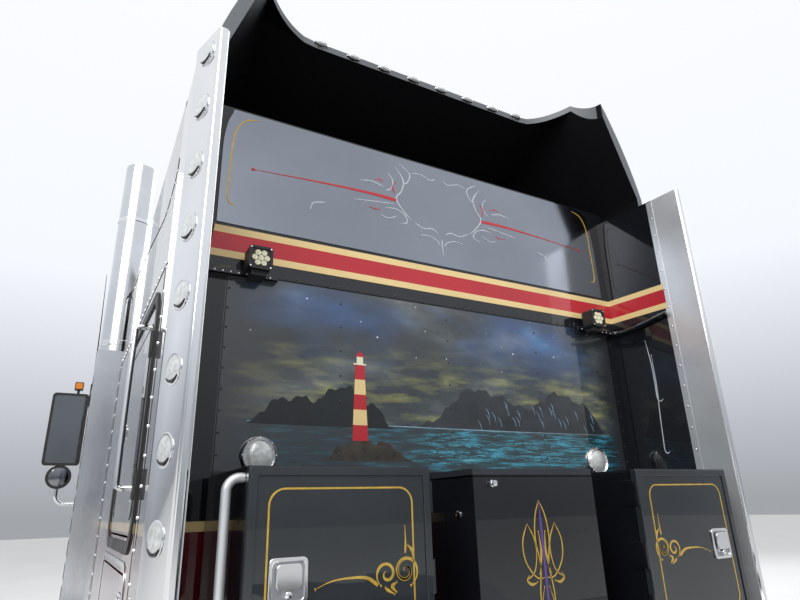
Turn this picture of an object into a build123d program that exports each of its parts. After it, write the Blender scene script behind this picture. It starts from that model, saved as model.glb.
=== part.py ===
from build123d import *
import os

os.makedirs("parts", exist_ok=True)

# Long-nose sleeper tractor truck. Millimetres, +Y forward, +X to the truck's right,
# +Z up, ground at Z = 0, origin under the middle of the truck.

# Overall
front_end_y = 4275
rear_end_y = -4275
body_gap = 8
fit_gap = 6
running_gap = 0.05

# Chassis rails
rail_outer_x = 430
rail_top_z = 1020
rail_height = 270
rail_flange = 85
rail_wall = 10
rail_front_y = 3975
cross_length = 90
cross_ys = (3835, 1575, 575, -1525, -2845, -4115)
mount_pad = 20
pad_ys = (2125, 1035, 835, -675)

# Wheels and tyres
tyre_radius = 520
tyre_half_width = 140
rim_radius = 286
rim_half_width = 115
rim_wall = 16
twin_offset = 170
hub_bore_radius = 45
front_axle_y = 3405
front_wheel_x = 1060
drive_axle_ys = (-2185, -3505)
drive_wheel_x = 915
kingpin_x = 900

# Cab
cab_half_width = 1020
cab_wall = 50
cab_floor_z = rail_top_z + mount_pad
cab_rear_y = 955
cowl_y = 2275
cowl_z = 1800
screen_top_y = 1925
screen_top_z = 2500
cab_roof_z = 2620
cab_roof_corner = 40
door_rear_y = 1150
door_front_y = 2075
door_sill_z = 1110
door_top_z = 2390
door_top_front_y = 1895
door_waist_z = 1740

# Sleeper
sleeper_half_width = 1200
sleeper_rear_y = -855
sleeper_front_y = 925
sleeper_rear_top_z = 3200
sleeper_front_top_z = 2950
roof_corner = 45
side_door_rear_y = -695
side_door_front_y = 155
side_door_bottom_z = 1530
side_door_top_z = 2360
hatch_rear_y = -655
hatch_front_y = 265
hatch_bottom_z = 1110
hatch_top_z = 1420
rear_wall_half_width = 1100
passage_half_width = 430
passage_top_z = 2350

# Roof fairing
fairing_front_y = 1575
fairing_crest_y = -800
fairing_wing_y = -1120
fairing_half_width = 1178
fairing_side_z = 3180
fairing_wall = 35
horn_x = 900
horn_z = 3840
dip_x = 640
dip_z = 3762

# Side extenders and lamp pillars
extender_bottom_z = 1080
extender_top_z = 3125
pillar_front_y = -1200
pillar_rear_y = -1350
pillar_outer_x = 1222
pillar_rear_x = 1178
pillar_inner_x = 1140
pillar_lamp_pitch = 217
pillar_lamp_first_z = 1109
pillar_lamp_radius = 45
pillar_lamp_height = 12
pillar_lamp_room = extender_top_z - pillar_lamp_first_z - pillar_lamp_radius
pillar_lamp_count = int(pillar_lamp_room / pillar_lamp_pitch) + 1

# Tool boxes behind the sleeper, columns: left x, right x
box_rear_y = -1355
box_front_y = -905
box_top_z = 1715
box_wall = 25
box_door_wall = 20
left_box_xs = (-1005, -455)
middle_box_xs = (-275, 255)
right_box_xs = (455, 1005)
deck_rear_y = -1525
deck_front_y = -875
deck_wall = 25
deck_half_width = 1150
box_sill_z = 1160

# Tanks and steps
tank_radius = 300
tank_x = 890
tank_z = 680
tank_rear_y = -1455
tank_front_y = 895
step_rear_y = 1035
step_front_y = 1975
step_outer_x = 1150

# Hood, in side view and at its two ends
hood_rear_y = 2290
hood_front_y = 3975
hood_rear_half_width = 700
hood_rear_top_z = 1900
hood_front_half_width = 430
hood_front_top_z = 1640
hood_bottom_z = 1060
hood_wall = 35
fender_inner_x = 500
fender_outer_x = 1225
fender_arch_radius = 640
fender_front_y = 4135
fender_rear_y = 2675
fender_front_z = 760
fender_crown_radius = 45
grille_depth = 70
grille_bottom_z = 800
grille_bar_pitch = 60

# Exhaust stacks
stack_x = 1228
stack_y = 1045
stack_radius = 100
stack_top_z = 3900
stack_bottom_z = 900
shield_top_z = 2560
shield_outer_x = 1338
shield_inner_x = 1140
shield_wall = 6

# Fifth wheel
coupling_y = -2775
coupling_top_z = 1240
coupling_plate = 40
coupling_half_width = 460
coupling_half_length = 470
coupling_pivot_z = 1150
coupling_pivot_radius = 30
kingpin_bore_radius = 26


def across(y):
    """Plane across the truck at y: local x is X, local y is Z, extrusions run rearward."""
    return Plane(origin=(0, y, 0), x_dir=(1, 0, 0), z_dir=(0, -1, 0))


def side(x):
    """Plane along the truck at x: local x is Y, local y is Z, extrusions run to the right."""
    return Plane(origin=(x, 0, 0), x_dir=(0, 1, 0), z_dir=(1, 0, 0))


def level(z):
    """Level plane at height z."""
    return Plane.XY.offset(z)


def write(part, name):
    """Label a finished piece and write its file."""
    part.label = name
    export_step(part, "parts/" + name + ".step")


# Chassis frame: two channel rails, crossmembers between their webs, pads for cab and sleeper
rail_bottom_z = rail_top_z - rail_height
with BuildPart() as frame_rails:
    with BuildSketch(across(rail_front_y)):
        with Locations((rail_outer_x, rail_bottom_z)):
            Rectangle(rail_flange, rail_height, align=(Align.MAX, Align.MIN))
        with Locations((rail_outer_x - rail_wall, rail_bottom_z + rail_wall)):
            Rectangle(
                rail_flange,
                rail_height - 2 * rail_wall,
                align=(Align.MAX, Align.MIN),
                mode=Mode.SUBTRACT,
            )
    extrude(amount=rail_front_y - rear_end_y - 60)
    mirror(about=Plane.YZ)
    for cross_y in cross_ys:
        with BuildSketch(across(cross_y)):
            with Locations((0, rail_bottom_z + 40)):
                Rectangle(
                    2 * (rail_outer_x - rail_wall),
                    rail_height - 80,
                    align=(Align.CENTER, Align.MIN),
                )
        extrude(amount=cross_length)
    for pad_y in pad_ys:
        for pad_side in (-1, 1):
            with BuildSketch(level(rail_top_z)):
                with Locations((pad_side * (rail_outer_x - rail_flange / 2), pad_y)):
                    Rectangle(rail_flange, rail_flange)
            extrude(amount=mount_pad)
write(frame_rails.part, "frame_rails")

# Front axle: forged beam with an eye for the kingpin at each end
axle_z = tyre_radius
eye_radius = 48
eye_half_height = 55
kingpin_radius = 24
beam_half_depth = 45
with BuildPart() as front_axle:
    with BuildSketch(across(front_axle_y + beam_half_depth)):
        with BuildLine():
            Polyline(
                (0, axle_z - 110),
                (520, axle_z - 110),
                (kingpin_x - 30, axle_z - 45),
                (kingpin_x - 30, axle_z + 45),
                (520, axle_z - 15),
                (0, axle_z - 15),
                close=True,
            )
        make_face()
        mirror(about=Plane.YZ)
    extrude(amount=2 * beam_half_depth)
    with BuildSketch(level(axle_z - eye_half_height)):
        with Locations((kingpin_x, front_axle_y), (-kingpin_x, front_axle_y)):
            Circle(eye_radius)
    extrude(amount=2 * eye_half_height)
    with BuildSketch(level(axle_z - eye_half_height - 1)):
        with Locations((kingpin_x, front_axle_y), (-kingpin_x, front_axle_y)):
            Circle(kingpin_radius + running_gap)
    extrude(amount=2 * eye_half_height + 2, mode=Mode.SUBTRACT)
write(front_axle.part, "front_axle")

# Springs: leaf packs over the front axle, air springs and beams at the drive axles
housing_radius = 70
leaf_x = 385
leaf_width = 80
leaf_bottom_z = axle_z - 15
with BuildPart() as springs:
    for spring_side in (-1, 1):
        with BuildSketch(side(spring_side * leaf_x - leaf_width / 2)):
            with BuildLine():
                Polyline(
                    (front_axle_y - 60, leaf_bottom_z),
                    (front_axle_y + 60, leaf_bottom_z),
                    (front_axle_y + 450, leaf_bottom_z + 120),
                    (front_axle_y + 490, rail_bottom_z),
                    (front_axle_y + 400, rail_bottom_z),
                    (front_axle_y + 380, leaf_bottom_z + 170),
                    (front_axle_y + 60, leaf_bottom_z + 60),
                    (front_axle_y - 60, leaf_bottom_z + 60),
                    (front_axle_y - 600, leaf_bottom_z + 170),
                    (front_axle_y - 620, rail_bottom_z),
                    (front_axle_y - 710, rail_bottom_z),
                    (front_axle_y - 670, leaf_bottom_z + 120),
                    close=True,
                )
            make_face()
        extrude(amount=leaf_width)
    for drive_y in drive_axle_ys:
        for spring_side in (-1, 1):
            with BuildSketch(side(spring_side * (rail_outer_x + 15) - 45)):
                with Locations((drive_y - 350, axle_z - housing_radius)):
                    Rectangle(620, 70, align=(Align.MIN, Align.MAX))
            extrude(amount=90)
            with BuildSketch(level(axle_z - housing_radius)):
                with Locations((spring_side * (rail_outer_x - 20), drive_y - 260)):
                    Circle(100)
            extrude(amount=rail_bottom_z - axle_z + housing_radius)
write(springs.part, "springs")

# Drive line: two axle housings with spindles, joined by shafts from the gearbox
bowl_radius = 190
spindle_reach = 150
gearbox_rear_y = 1625
shaft_radius = 50
shaft_z = 640
with BuildPart() as drive_line:
    for drive_y in drive_axle_ys:
        axle_end_x = drive_wheel_x - 100
        with BuildSketch(side(-axle_end_x)):
            with Locations((drive_y, axle_z)):
                Circle(housing_radius)
        extrude(amount=2 * axle_end_x)
        with BuildSketch(side(-drive_wheel_x - spindle_reach + 10)):
            with Locations((drive_y, axle_z)):
                Circle(hub_bore_radius - running_gap)
        extrude(amount=2 * (drive_wheel_x + spindle_reach - 10))
        with BuildSketch(Plane(origin=(0, drive_y, axle_z), x_dir=(1, 0, 0), z_dir=(0, 0, 1))):
            with BuildLine():
                Polyline(
                    (-160, 0),
                    (-150, 90),
                    (-80, bowl_radius),
                    (80, bowl_radius),
                    (150, 90),
                    (160, 0),
                    close=True,
                )
            make_face()
        revolve(axis=Axis((0, drive_y, axle_z), (1, 0, 0)))
    with BuildSketch(across(gearbox_rear_y)):
        with Locations((0, shaft_z)):
            Circle(shaft_radius)
    extrude(amount=gearbox_rear_y - drive_axle_ys[1])
write(drive_line.part, "drive_line")

# Engine as one plain block with its gearbox and the radiator in front
engine_front_y = 3515
engine_rear_y = 2335
engine_bottom_z = 640
engine_width = 640
engine_height = 940
gearbox_bottom_z = 560
gearbox_width = 440
gearbox_height = 420
radiator_front_y = 3915
radiator_depth = 110
radiator_width = 700
radiator_height = 510
fan_width = 160
fan_lift = 150
with BuildPart() as engine:
    with BuildSketch(across(engine_front_y)):
        with Locations((0, engine_bottom_z)):
            Rectangle(engine_width, engine_height, align=(Align.CENTER, Align.MIN))
    extrude(amount=engine_front_y - engine_rear_y)
    with BuildSketch(across(engine_rear_y)):
        with Locations((0, gearbox_bottom_z)):
            Rectangle(gearbox_width, gearbox_height, align=(Align.CENTER, Align.MIN))
    extrude(amount=engine_rear_y - gearbox_rear_y)
    with BuildSketch(across(radiator_front_y)):
        with Locations((0, rail_top_z)):
            Rectangle(radiator_width, radiator_height, align=(Align.CENTER, Align.MIN))
    extrude(amount=radiator_depth)
    with BuildSketch(across(radiator_front_y - radiator_depth)):
        with Locations((0, rail_top_z + fan_lift)):
            Rectangle(fan_width, fan_width, align=(Align.CENTER, Align.MIN))
    extrude(amount=radiator_front_y - radiator_depth - engine_front_y)
write(engine.part, "engine")

# Bumper: deep plate, ends swept back
bumper_bottom_z = 330
bumper_top_z = 690
bumper_half_width = 1225
with BuildPart() as bumper:
    with BuildSketch(level(bumper_bottom_z)):
        with BuildLine():
            Polyline(
                (0, front_end_y),
                (850, front_end_y),
                (bumper_half_width, front_end_y - 110),
                (bumper_half_width, front_end_y - 120),
                (850, front_end_y - 12),
                (0, front_end_y - 12),
                close=True,
            )
        make_face()
        mirror(about=Plane.YZ)
    extrude(amount=bumper_top_z - bumper_bottom_z)
    for bracket_side in (-1, 1):
        with BuildSketch(across(front_end_y - 12)):
            with Locations((bracket_side * (rail_outer_x - 30), rail_bottom_z - 40)):
                Rectangle(60, 110, align=(Align.CENTER, Align.MAX))
        extrude(amount=front_end_y - 12 - rail_front_y + 60)
        with BuildSketch(level(rail_bottom_z - 60)):
            with Locations((bracket_side * (rail_outer_x - 30), rail_front_y - 60)):
                Rectangle(60, 120, align=(Align.CENTER, Align.MIN))
        extrude(amount=60)
write(bumper.part, "bumper")

# Fuel tanks: round, on brackets from the rail web
with BuildPart() as fuel_tanks:
    for tank_side in (-1, 1):
        with BuildSketch(across(tank_front_y)):
            with Locations((tank_side * tank_x, tank_z)):
                Circle(tank_radius)
        extrude(amount=tank_front_y - tank_rear_y)
    fillet(fuel_tanks.edges().filter_by(GeomType.CIRCLE), 40)
    for tank_side in (-1, 1):
        for strap_y in (tank_front_y - 300, tank_rear_y + 420):
            with BuildSketch(across(strap_y)):
                with Locations((tank_side * tank_x, tank_z)):
                    Circle(tank_radius + 8)
            extrude(amount=60)
            with BuildSketch(across(strap_y)):
                with Locations((tank_side * (rail_outer_x + tank_x) / 2, tank_z)):
                    Rectangle(tank_x - rail_outer_x, 300)
            extrude(amount=60)
write(fuel_tanks.part, "fuel_tanks")

# Cab steps: two treads a side on a box
step_inner_x = 620
step_inset = 130
step_top_z = 980
step_upper_z = 720
step_lower_z = 380
with BuildPart() as cab_steps:
    for step_side in (-1, 1):
        with BuildSketch(across(step_front_y)):
            with BuildLine():
                Polyline(
                    (step_side * rail_outer_x, step_top_z),
                    (step_side * (step_outer_x - step_inset), step_top_z),
                    (step_side * (step_outer_x - step_inset), step_upper_z),
                    (step_side * step_outer_x, step_upper_z),
                    (step_side * step_outer_x, step_lower_z),
                    (step_side * step_inner_x, step_lower_z),
                    (step_side * step_inner_x, rail_bottom_z),
                    (step_side * rail_outer_x, rail_bottom_z),
                    close=True,
                )
            make_face()
        extrude(amount=step_front_y - step_rear_y)
write(cab_steps.part, "cab_steps")

# Cab shell
cab_profile = (
    (cab_rear_y, cab_floor_z),
    (cowl_y, cab_floor_z),
    (cowl_y, cowl_z),
    (screen_top_y, screen_top_z),
    (screen_top_y - 130, cab_roof_z - 10),
    (cab_rear_y, cab_roof_z),
)
door_outline = (
    (door_rear_y, door_sill_z),
    (door_front_y, door_sill_z),
    (door_front_y, cowl_z),
    (door_top_front_y, door_top_z),
    (door_rear_y, door_top_z),
)
screen_middle = (0, (cowl_y + screen_top_y) / 2, (cowl_z + screen_top_z) / 2)
screen_plane = Plane(
    origin=screen_middle,
    x_dir=(1, 0, 0),
    z_dir=(0, screen_top_z - cowl_z, cowl_y - screen_top_y),
)
pane_width = 880
pane_height = 570
pane_post = 40
pane_centre_x = (pane_width + pane_post) / 2
glass_thickness = 8
glass_gap = 3
with BuildPart() as cab:
    with BuildSketch(side(-cab_half_width)):
        with BuildLine():
            Polyline(*cab_profile, close=True)
        make_face()
    extrude(amount=2 * cab_half_width)
    roof_edges = cab.edges().filter_by(lambda edge: edge.center().Z > screen_top_z)
    fillet(roof_edges.filter_by(lambda edge: abs(edge.center().X) > 1), cab_roof_corner)
    with BuildSketch(side(-cab_half_width + cab_wall)):
        with BuildLine():
            Polyline(*cab_profile, close=True)
        make_face()
        offset(amount=-cab_wall, kind=Kind.INTERSECTION)
    extrude(amount=2 * (cab_half_width - cab_wall), mode=Mode.SUBTRACT)
    with BuildSketch(side(-cab_half_width)):
        with BuildLine():
            Polyline(*door_outline, close=True)
        make_face()
    extrude(amount=2 * cab_half_width, mode=Mode.SUBTRACT)
    with BuildSketch(screen_plane.offset(20)):
        with Locations((-pane_centre_x, 0), (pane_centre_x, 0)):
            Rectangle(pane_width, pane_height)
    extrude(amount=-cab_wall - 60, mode=Mode.SUBTRACT)
    with BuildSketch(across(cab_rear_y + cab_wall + 10)):
        with Locations((0, cab_floor_z + cab_wall)):
            Rectangle(
                2 * passage_half_width,
                passage_top_z - cab_floor_z - cab_wall,
                align=(Align.CENTER, Align.MIN),
            )
    extrude(amount=cab_wall + 20, mode=Mode.SUBTRACT)
write(cab.part, "cab")

with BuildPart() as windscreen:
    with BuildSketch(screen_plane.offset(-cab_wall / 2)):
        with Locations((-pane_centre_x, 0), (pane_centre_x, 0)):
            Rectangle(pane_width - 2 * glass_gap, pane_height - 2 * glass_gap)
    extrude(amount=glass_thickness)
write(windscreen.part, "windscreen")

# Cab doors, each with its window cut
door_sides = (("left", -1), ("right", 1))
for side_name, door_side in door_sides:
    door_plane_x = door_side * cab_half_width
    with BuildPart() as cab_door:
        with BuildSketch(side(door_plane_x)):
            with BuildLine():
                Polyline(*door_outline, close=True)
            make_face()
            offset(amount=-body_gap, kind=Kind.INTERSECTION)
        extrude(amount=-door_side * cab_wall)
        with BuildSketch(side(door_plane_x)):
            with BuildLine():
                Polyline(
                    (door_rear_y + 80, door_waist_z),
                    (door_front_y - 85, door_waist_z),
                    (door_front_y - 85, cowl_z),
                    (door_top_front_y - 65, door_top_z - 80),
                    (door_rear_y + 80, door_top_z - 80),
                    close=True,
                )
            make_face()
        extrude(amount=-door_side * cab_wall, mode=Mode.SUBTRACT)
    write(cab_door.part, "cab_door_" + side_name)

# Mirrors: a bent tube on each door carries a tall head and a round one
mirror_x = 1440
mirror_y = 1835
mirror_width = 230
mirror_height = 500
mirror_middle_z = 2190
convex_z = 1866
convex_radius = 78
arm_radius = 12
arm_low_z = 1690
arm_high_z = 2345
for side_name, door_side in door_sides:
    with BuildPart() as door_mirror:
        with BuildLine() as arm_path:
            FilletPolyline(
                (door_side * cab_half_width, mirror_y, arm_low_z),
                (door_side * mirror_x, mirror_y, arm_low_z),
                (door_side * mirror_x, mirror_y, arm_high_z),
                (door_side * cab_half_width, mirror_y, arm_high_z),
                radius=60,
            )
        with BuildSketch(Plane(origin=arm_path.line @ 0, z_dir=arm_path.line % 0)):
            Circle(arm_radius)
        sweep()
        with BuildSketch(across(mirror_y + 25)):
            with Locations((door_side * mirror_x, mirror_middle_z)):
                RectangleRounded(mirror_width, mirror_height, 25)
        extrude(amount=50)
        with BuildSketch(across(mirror_y + 20)):
            with Locations((door_side * mirror_x, convex_z)):
                Circle(convex_radius)
        extrude(amount=40)
    write(door_mirror.part, "mirror_" + side_name)

# Sleeper shell, with side doors, hatches and the passage to the cab
sleeper_profile = (
    (sleeper_rear_y, cab_floor_z),
    (sleeper_front_y, cab_floor_z),
    (sleeper_front_y, sleeper_front_top_z),
    (sleeper_rear_y, sleeper_rear_top_z),
)
with BuildPart() as sleeper:
    with BuildSketch(side(-sleeper_half_width)):
        with BuildLine():
            Polyline(*sleeper_profile, close=True)
        make_face()
    extrude(amount=2 * sleeper_half_width)
    fillet(sleeper.edges().filter_by(Axis.X, reverse=True).group_by(Axis.Z)[-1], roof_corner)
    with BuildSketch(side(-sleeper_half_width + cab_wall)):
        with BuildLine():
            Polyline(*sleeper_profile, close=True)
        make_face()
        offset(amount=-cab_wall, kind=Kind.INTERSECTION)
    extrude(amount=2 * (sleeper_half_width - cab_wall), mode=Mode.SUBTRACT)
    with BuildSketch(side(-sleeper_half_width)):
        side_door_y = (side_door_rear_y + side_door_front_y) / 2
        side_door_z = (side_door_bottom_z + side_door_top_z) / 2
        with Locations((side_door_y, side_door_z)):
            RectangleRounded(side_door_front_y - side_door_rear_y, side_door_top_z - side_door_bottom_z, 80)
        with Locations(((hatch_rear_y + hatch_front_y) / 2, (hatch_bottom_z + hatch_top_z) / 2)):
            RectangleRounded(hatch_front_y - hatch_rear_y, hatch_top_z - hatch_bottom_z, 50)
    extrude(amount=2 * sleeper_half_width, mode=Mode.SUBTRACT)
    with BuildSketch(across(cab_rear_y)):
        with Locations((0, cab_floor_z)):
            Rectangle(
                2 * (passage_half_width + 50),
                passage_top_z + 50 - cab_floor_z,
                align=(Align.CENTER, Align.MIN),
            )
    extrude(amount=cab_rear_y - sleeper_front_y)
    with BuildSketch(across(cab_rear_y)):
        with Locations((0, cab_floor_z + cab_wall)):
            Rectangle(
                2 * passage_half_width,
                passage_top_z - cab_floor_z - cab_wall,
                align=(Align.CENTER, Align.MIN),
            )
    extrude(amount=cab_rear_y - sleeper_front_y + cab_wall + 10, mode=Mode.SUBTRACT)
write(sleeper.part, "sleeper")

# Sleeper side doors and luggage hatches, let into the wall
panel_rows = (
    ("side_door_", side_door_rear_y, side_door_front_y, side_door_bottom_z, side_door_top_z, 80),
    ("hatch_", hatch_rear_y, hatch_front_y, hatch_bottom_z, hatch_top_z, 50),
)
for side_name, door_side in door_sides:
    for panel_name, panel_rear_y, panel_front_y, panel_bottom_z, panel_top_z, corner in panel_rows:
        with BuildPart() as side_panel:
            with BuildSketch(side(door_side * sleeper_half_width)):
                with Locations(((panel_rear_y + panel_front_y) / 2, (panel_bottom_z + panel_top_z) / 2)):
                    RectangleRounded(
                        panel_front_y - panel_rear_y - 2 * body_gap,
                        panel_top_z - panel_bottom_z - 2 * body_gap,
                        corner - body_gap,
                    )
            extrude(amount=-door_side * cab_wall)
        write(side_panel.part, panel_name + side_name)

# Roof fairing: its outline at one place along the truck, with a horn each side of a dip.
# Its middle ends above the rear wall and its wings run on to the lamp pillars.
fairing_bottom_z = 2500


def fairing_outline(inset, half_width, side_z, tip_x, tip_z, low_x, low_z):
    shoulder = (half_width - inset, side_z)
    outer_bend = ((half_width + 2 * tip_x) / 3 - inset + 25, (side_z + 2 * tip_z) / 3 - inset)
    tip = (tip_x, tip_z - inset)
    low = (low_x, low_z - inset)
    inner_bend = ((tip_x + low_x) / 2 + 12, (tip_z + low_z) / 2 - inset - 6)
    Line((0, low[1]), low)
    ThreePointArc(low, inner_bend, tip)
    ThreePointArc(tip, outer_bend, shoulder)
    Line(shoulder, (half_width - inset, fairing_bottom_z))
    Line((half_width - inset, fairing_bottom_z), (0, fairing_bottom_z))
    Line((0, fairing_bottom_z), (0, low[1]))


fairing_sections = (
    (fairing_front_y, 900, cab_roof_z + 30, 680, cab_roof_z + 90, 400, cab_roof_z + 95),
    (sleeper_front_y + 15, 1105, 2940, 850, 3140, 510, 3100),
    (sleeper_front_y - 35, 1190, 2960, 880, 3150, 520, 3110),
    (fairing_crest_y, fairing_half_width, fairing_side_z - 20, horn_x, horn_z - 15, dip_x, dip_z),
    (fairing_wing_y, fairing_half_width, fairing_side_z, horn_x + 30, horn_z, dip_x, dip_z + 10),
)
crest_half_width = 700
wing_inner_x = 975
cut_reach = 2000
with BuildPart() as roof_fairing:
    for section_y, *form in fairing_sections:
        with BuildSketch(across(section_y)):
            with BuildLine():
                fairing_outline(0, *form)
            make_face()
            mirror(about=Plane.YZ)
    loft(ruled=True)
    with BuildSketch(side(-cut_reach)):
        with BuildLine():
            Polyline(
                (cut_reach, fairing_bottom_z - 500),
                (cut_reach, cab_roof_z + 2),
                (sleeper_front_y, cab_roof_z + 2),
                (sleeper_front_y, sleeper_front_top_z),
                (sleeper_rear_y, sleeper_rear_top_z),
                (sleeper_rear_y, extender_top_z),
                (pillar_front_y, extender_top_z),
                (pillar_front_y, fairing_bottom_z - 500),
                close=True,
            )
        make_face()
    extrude(amount=2 * cut_reach, mode=Mode.SUBTRACT)
    for section_y, *form in fairing_sections[2:-1]:
        with BuildSketch(across(section_y)):
            with BuildLine():
                fairing_outline(fairing_wall, *form)
            make_face()
            mirror(about=Plane.YZ)
    with BuildSketch(across(fairing_wing_y - 2)):
        with BuildLine():
            fairing_outline(fairing_wall, *fairing_sections[-1][1:])
        make_face()
        mirror(about=Plane.YZ)
    loft(ruled=True, mode=Mode.SUBTRACT)
    with BuildSketch(level(extender_top_z + 200)):
        with BuildLine():
            Polyline(
                (crest_half_width, fairing_crest_y),
                (0, fairing_crest_y),
                (0, pillar_rear_y),
                (wing_inner_x, pillar_rear_y),
                (wing_inner_x, fairing_wing_y),
            )
            ThreePointArc(
                (wing_inner_x, fairing_wing_y),
                (crest_half_width + 180, fairing_crest_y - 110),
                (crest_half_width, fairing_crest_y),
            )
        make_face()
        mirror(about=Plane.YZ)
    extrude(amount=1000, mode=Mode.SUBTRACT)
write(roof_fairing.part, "roof_fairing")

# Side extenders behind the sleeper's corners
with BuildPart() as side_extenders:
    with BuildSketch(level(extender_bottom_z)):
        with BuildLine():
            Polyline(
                (sleeper_half_width, sleeper_rear_y),
                (pillar_outer_x - 7, pillar_front_y),
                (pillar_inner_x, pillar_front_y),
                (rear_wall_half_width, sleeper_rear_y),
                close=True,
            )
        make_face()
        mirror(about=Plane.YZ)
    extrude(amount=extender_top_z - extender_bottom_z)
write(side_extenders.part, "side_extenders")

# Polished pillars on the extenders' rear edges, with round lamps on their outer faces
lamp_mid_x = (pillar_outer_x + pillar_rear_x) / 2
lamp_mid_y = (pillar_front_y + pillar_rear_y) / 2
lamp_out = (pillar_front_y - pillar_rear_y, pillar_rear_x - pillar_outer_x)
with BuildPart() as lamp_pillars:
    with BuildSketch(level(extender_bottom_z)):
        with BuildLine():
            Polyline(
                (pillar_outer_x, pillar_front_y),
                (pillar_rear_x, pillar_rear_y),
                (pillar_rear_x - 30, pillar_rear_y),
                (pillar_inner_x, pillar_front_y),
                close=True,
            )
        make_face()
    extrude(amount=extender_top_z - extender_bottom_z)
    for lamp_number in range(pillar_lamp_count):
        lamp_z = pillar_lamp_first_z + lamp_number * pillar_lamp_pitch
        lamp_plane = Plane(
            origin=(lamp_mid_x, lamp_mid_y, lamp_z),
            x_dir=(0, 0, 1),
            z_dir=(lamp_out[0], lamp_out[1], 0),
        )
        with BuildSketch(lamp_plane):
            Circle(pillar_lamp_radius)
        extrude(amount=pillar_lamp_height)
    mirror(about=Plane.YZ)
write(lamp_pillars.part, "lamp_pillars")

# Exhaust stacks between cab and sleeper, each with a polished shield behind it
shield_rear_y = sleeper_front_y + 2
with BuildPart() as exhaust_stacks:
    with BuildSketch(level(stack_bottom_z)):
        with Locations((stack_x, stack_y)):
            Circle(stack_radius)
    extrude(amount=stack_top_z - stack_bottom_z)
    with BuildSketch(level(stack_top_z - 400)):
        with Locations((stack_x, stack_y)):
            Circle(stack_radius - 5)
    extrude(amount=400, mode=Mode.SUBTRACT)
    for clamp_z in (1300, 2300):
        with BuildSketch(level(clamp_z)):
            with Locations((stack_x, stack_y)):
                Rectangle(stack_x - cab_half_width, 50, align=(Align.MAX, Align.CENTER))
                Rectangle(50, stack_y - shield_rear_y, align=(Align.CENTER, Align.MAX))
        extrude(amount=60)
    with BuildSketch(level(stack_bottom_z + 50)):
        with Locations((shield_outer_x, shield_rear_y)):
            Rectangle(shield_outer_x - shield_inner_x, shield_wall, align=(Align.MAX, Align.MIN))
            Rectangle(shield_wall, stack_y - shield_rear_y, align=(Align.MAX, Align.MIN))
    extrude(amount=shield_top_z - stack_bottom_z - 50)
    mirror(about=Plane.YZ)
write(exhaust_stacks.part, "exhaust_stacks")

# Tool boxes: three hollow boxes on the deck plate
box_rows = (left_box_xs, middle_box_xs, right_box_xs)
with BuildPart() as deck:
    with BuildSketch(level(rail_top_z)):
        with Locations((0, (deck_rear_y + deck_front_y) / 2)):
            Rectangle(2 * deck_half_width, deck_front_y - deck_rear_y)
    extrude(amount=deck_wall)
write(deck.part, "deck")

deck_top_z = rail_top_z + deck_wall
lid_bottom_z = box_top_z - box_door_wall
with BuildPart() as tool_boxes:
    for box_number, (box_left_x, box_right_x) in enumerate(box_rows):
        is_middle = box_number == 1
        body_top_z = lid_bottom_z - fit_gap if is_middle else box_top_z
        with BuildSketch(level(deck_top_z)):
            with Locations(((box_left_x + box_right_x) / 2, (box_rear_y + box_front_y) / 2)):
                Rectangle(box_right_x - box_left_x, box_front_y - box_rear_y)
        extrude(amount=body_top_z - deck_top_z)
        hollow_top_z = body_top_z + 1 if is_middle else body_top_z - box_wall
        with BuildSketch(level(deck_top_z + box_wall)):
            with Locations(((box_left_x + box_right_x) / 2, (box_rear_y + box_front_y) / 2)):
                Rectangle(box_right_x - box_left_x - 2 * box_wall, box_front_y - box_rear_y - 2 * box_wall)
        extrude(amount=hollow_top_z - deck_top_z - box_wall, mode=Mode.SUBTRACT)
        if not is_middle:
            with BuildSketch(across(box_rear_y + box_wall + 1)):
                with Locations(((box_left_x + box_right_x) / 2, box_sill_z)):
                    Rectangle(
                        box_right_x - box_left_x - 2 * box_wall,
                        hollow_top_z - box_sill_z,
                        align=(Align.CENTER, Align.MIN),
                    )
            extrude(amount=box_wall + 2, mode=Mode.SUBTRACT)
write(tool_boxes.part, "tool_boxes")

for side_name, (box_left_x, box_right_x) in (("left", left_box_xs), ("right", right_box_xs)):
    with BuildPart() as box_door:
        with BuildSketch(across(box_rear_y - fit_gap)):
            with Locations(((box_left_x + box_right_x) / 2, box_sill_z)):
                Rectangle(
                    box_right_x - box_left_x,
                    box_top_z - box_sill_z,
                    align=(Align.CENTER, Align.MIN),
                )
        extrude(amount=box_door_wall)
    write(box_door.part, "box_door_" + side_name)

with BuildPart() as box_lid:
    with BuildSketch(level(lid_bottom_z)):
        with Locations((sum(middle_box_xs) / 2, (box_rear_y + box_front_y) / 2)):
            Rectangle(middle_box_xs[1] - middle_box_xs[0], box_front_y - box_rear_y)
    extrude(amount=box_door_wall)
write(box_lid.part, "box_lid")

# Bent grab rails on the outer sides of the boxes
grab_radius = 13
grab_foot_x = right_box_xs[1]
grab_x = grab_foot_x + 43
grab_y = box_rear_y + 25
grab_top_z = 1688
grab_bottom_z = 1300
with BuildPart() as grab_rails:
    for grab_side in (-1, 1):
        with BuildLine() as grab_path:
            FilletPolyline(
                (grab_side * grab_foot_x, grab_y, grab_top_z),
                (grab_side * grab_x, grab_y, grab_top_z),
                (grab_side * grab_x, grab_y, grab_bottom_z),
                (grab_side * grab_foot_x, grab_y, grab_bottom_z),
                radius=35,
            )
        with BuildSketch(Plane(origin=grab_path.line @ 0, z_dir=grab_path.line % 0)):
            Circle(grab_radius)
        sweep()
write(grab_rails.part, "grab_rails")

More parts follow.
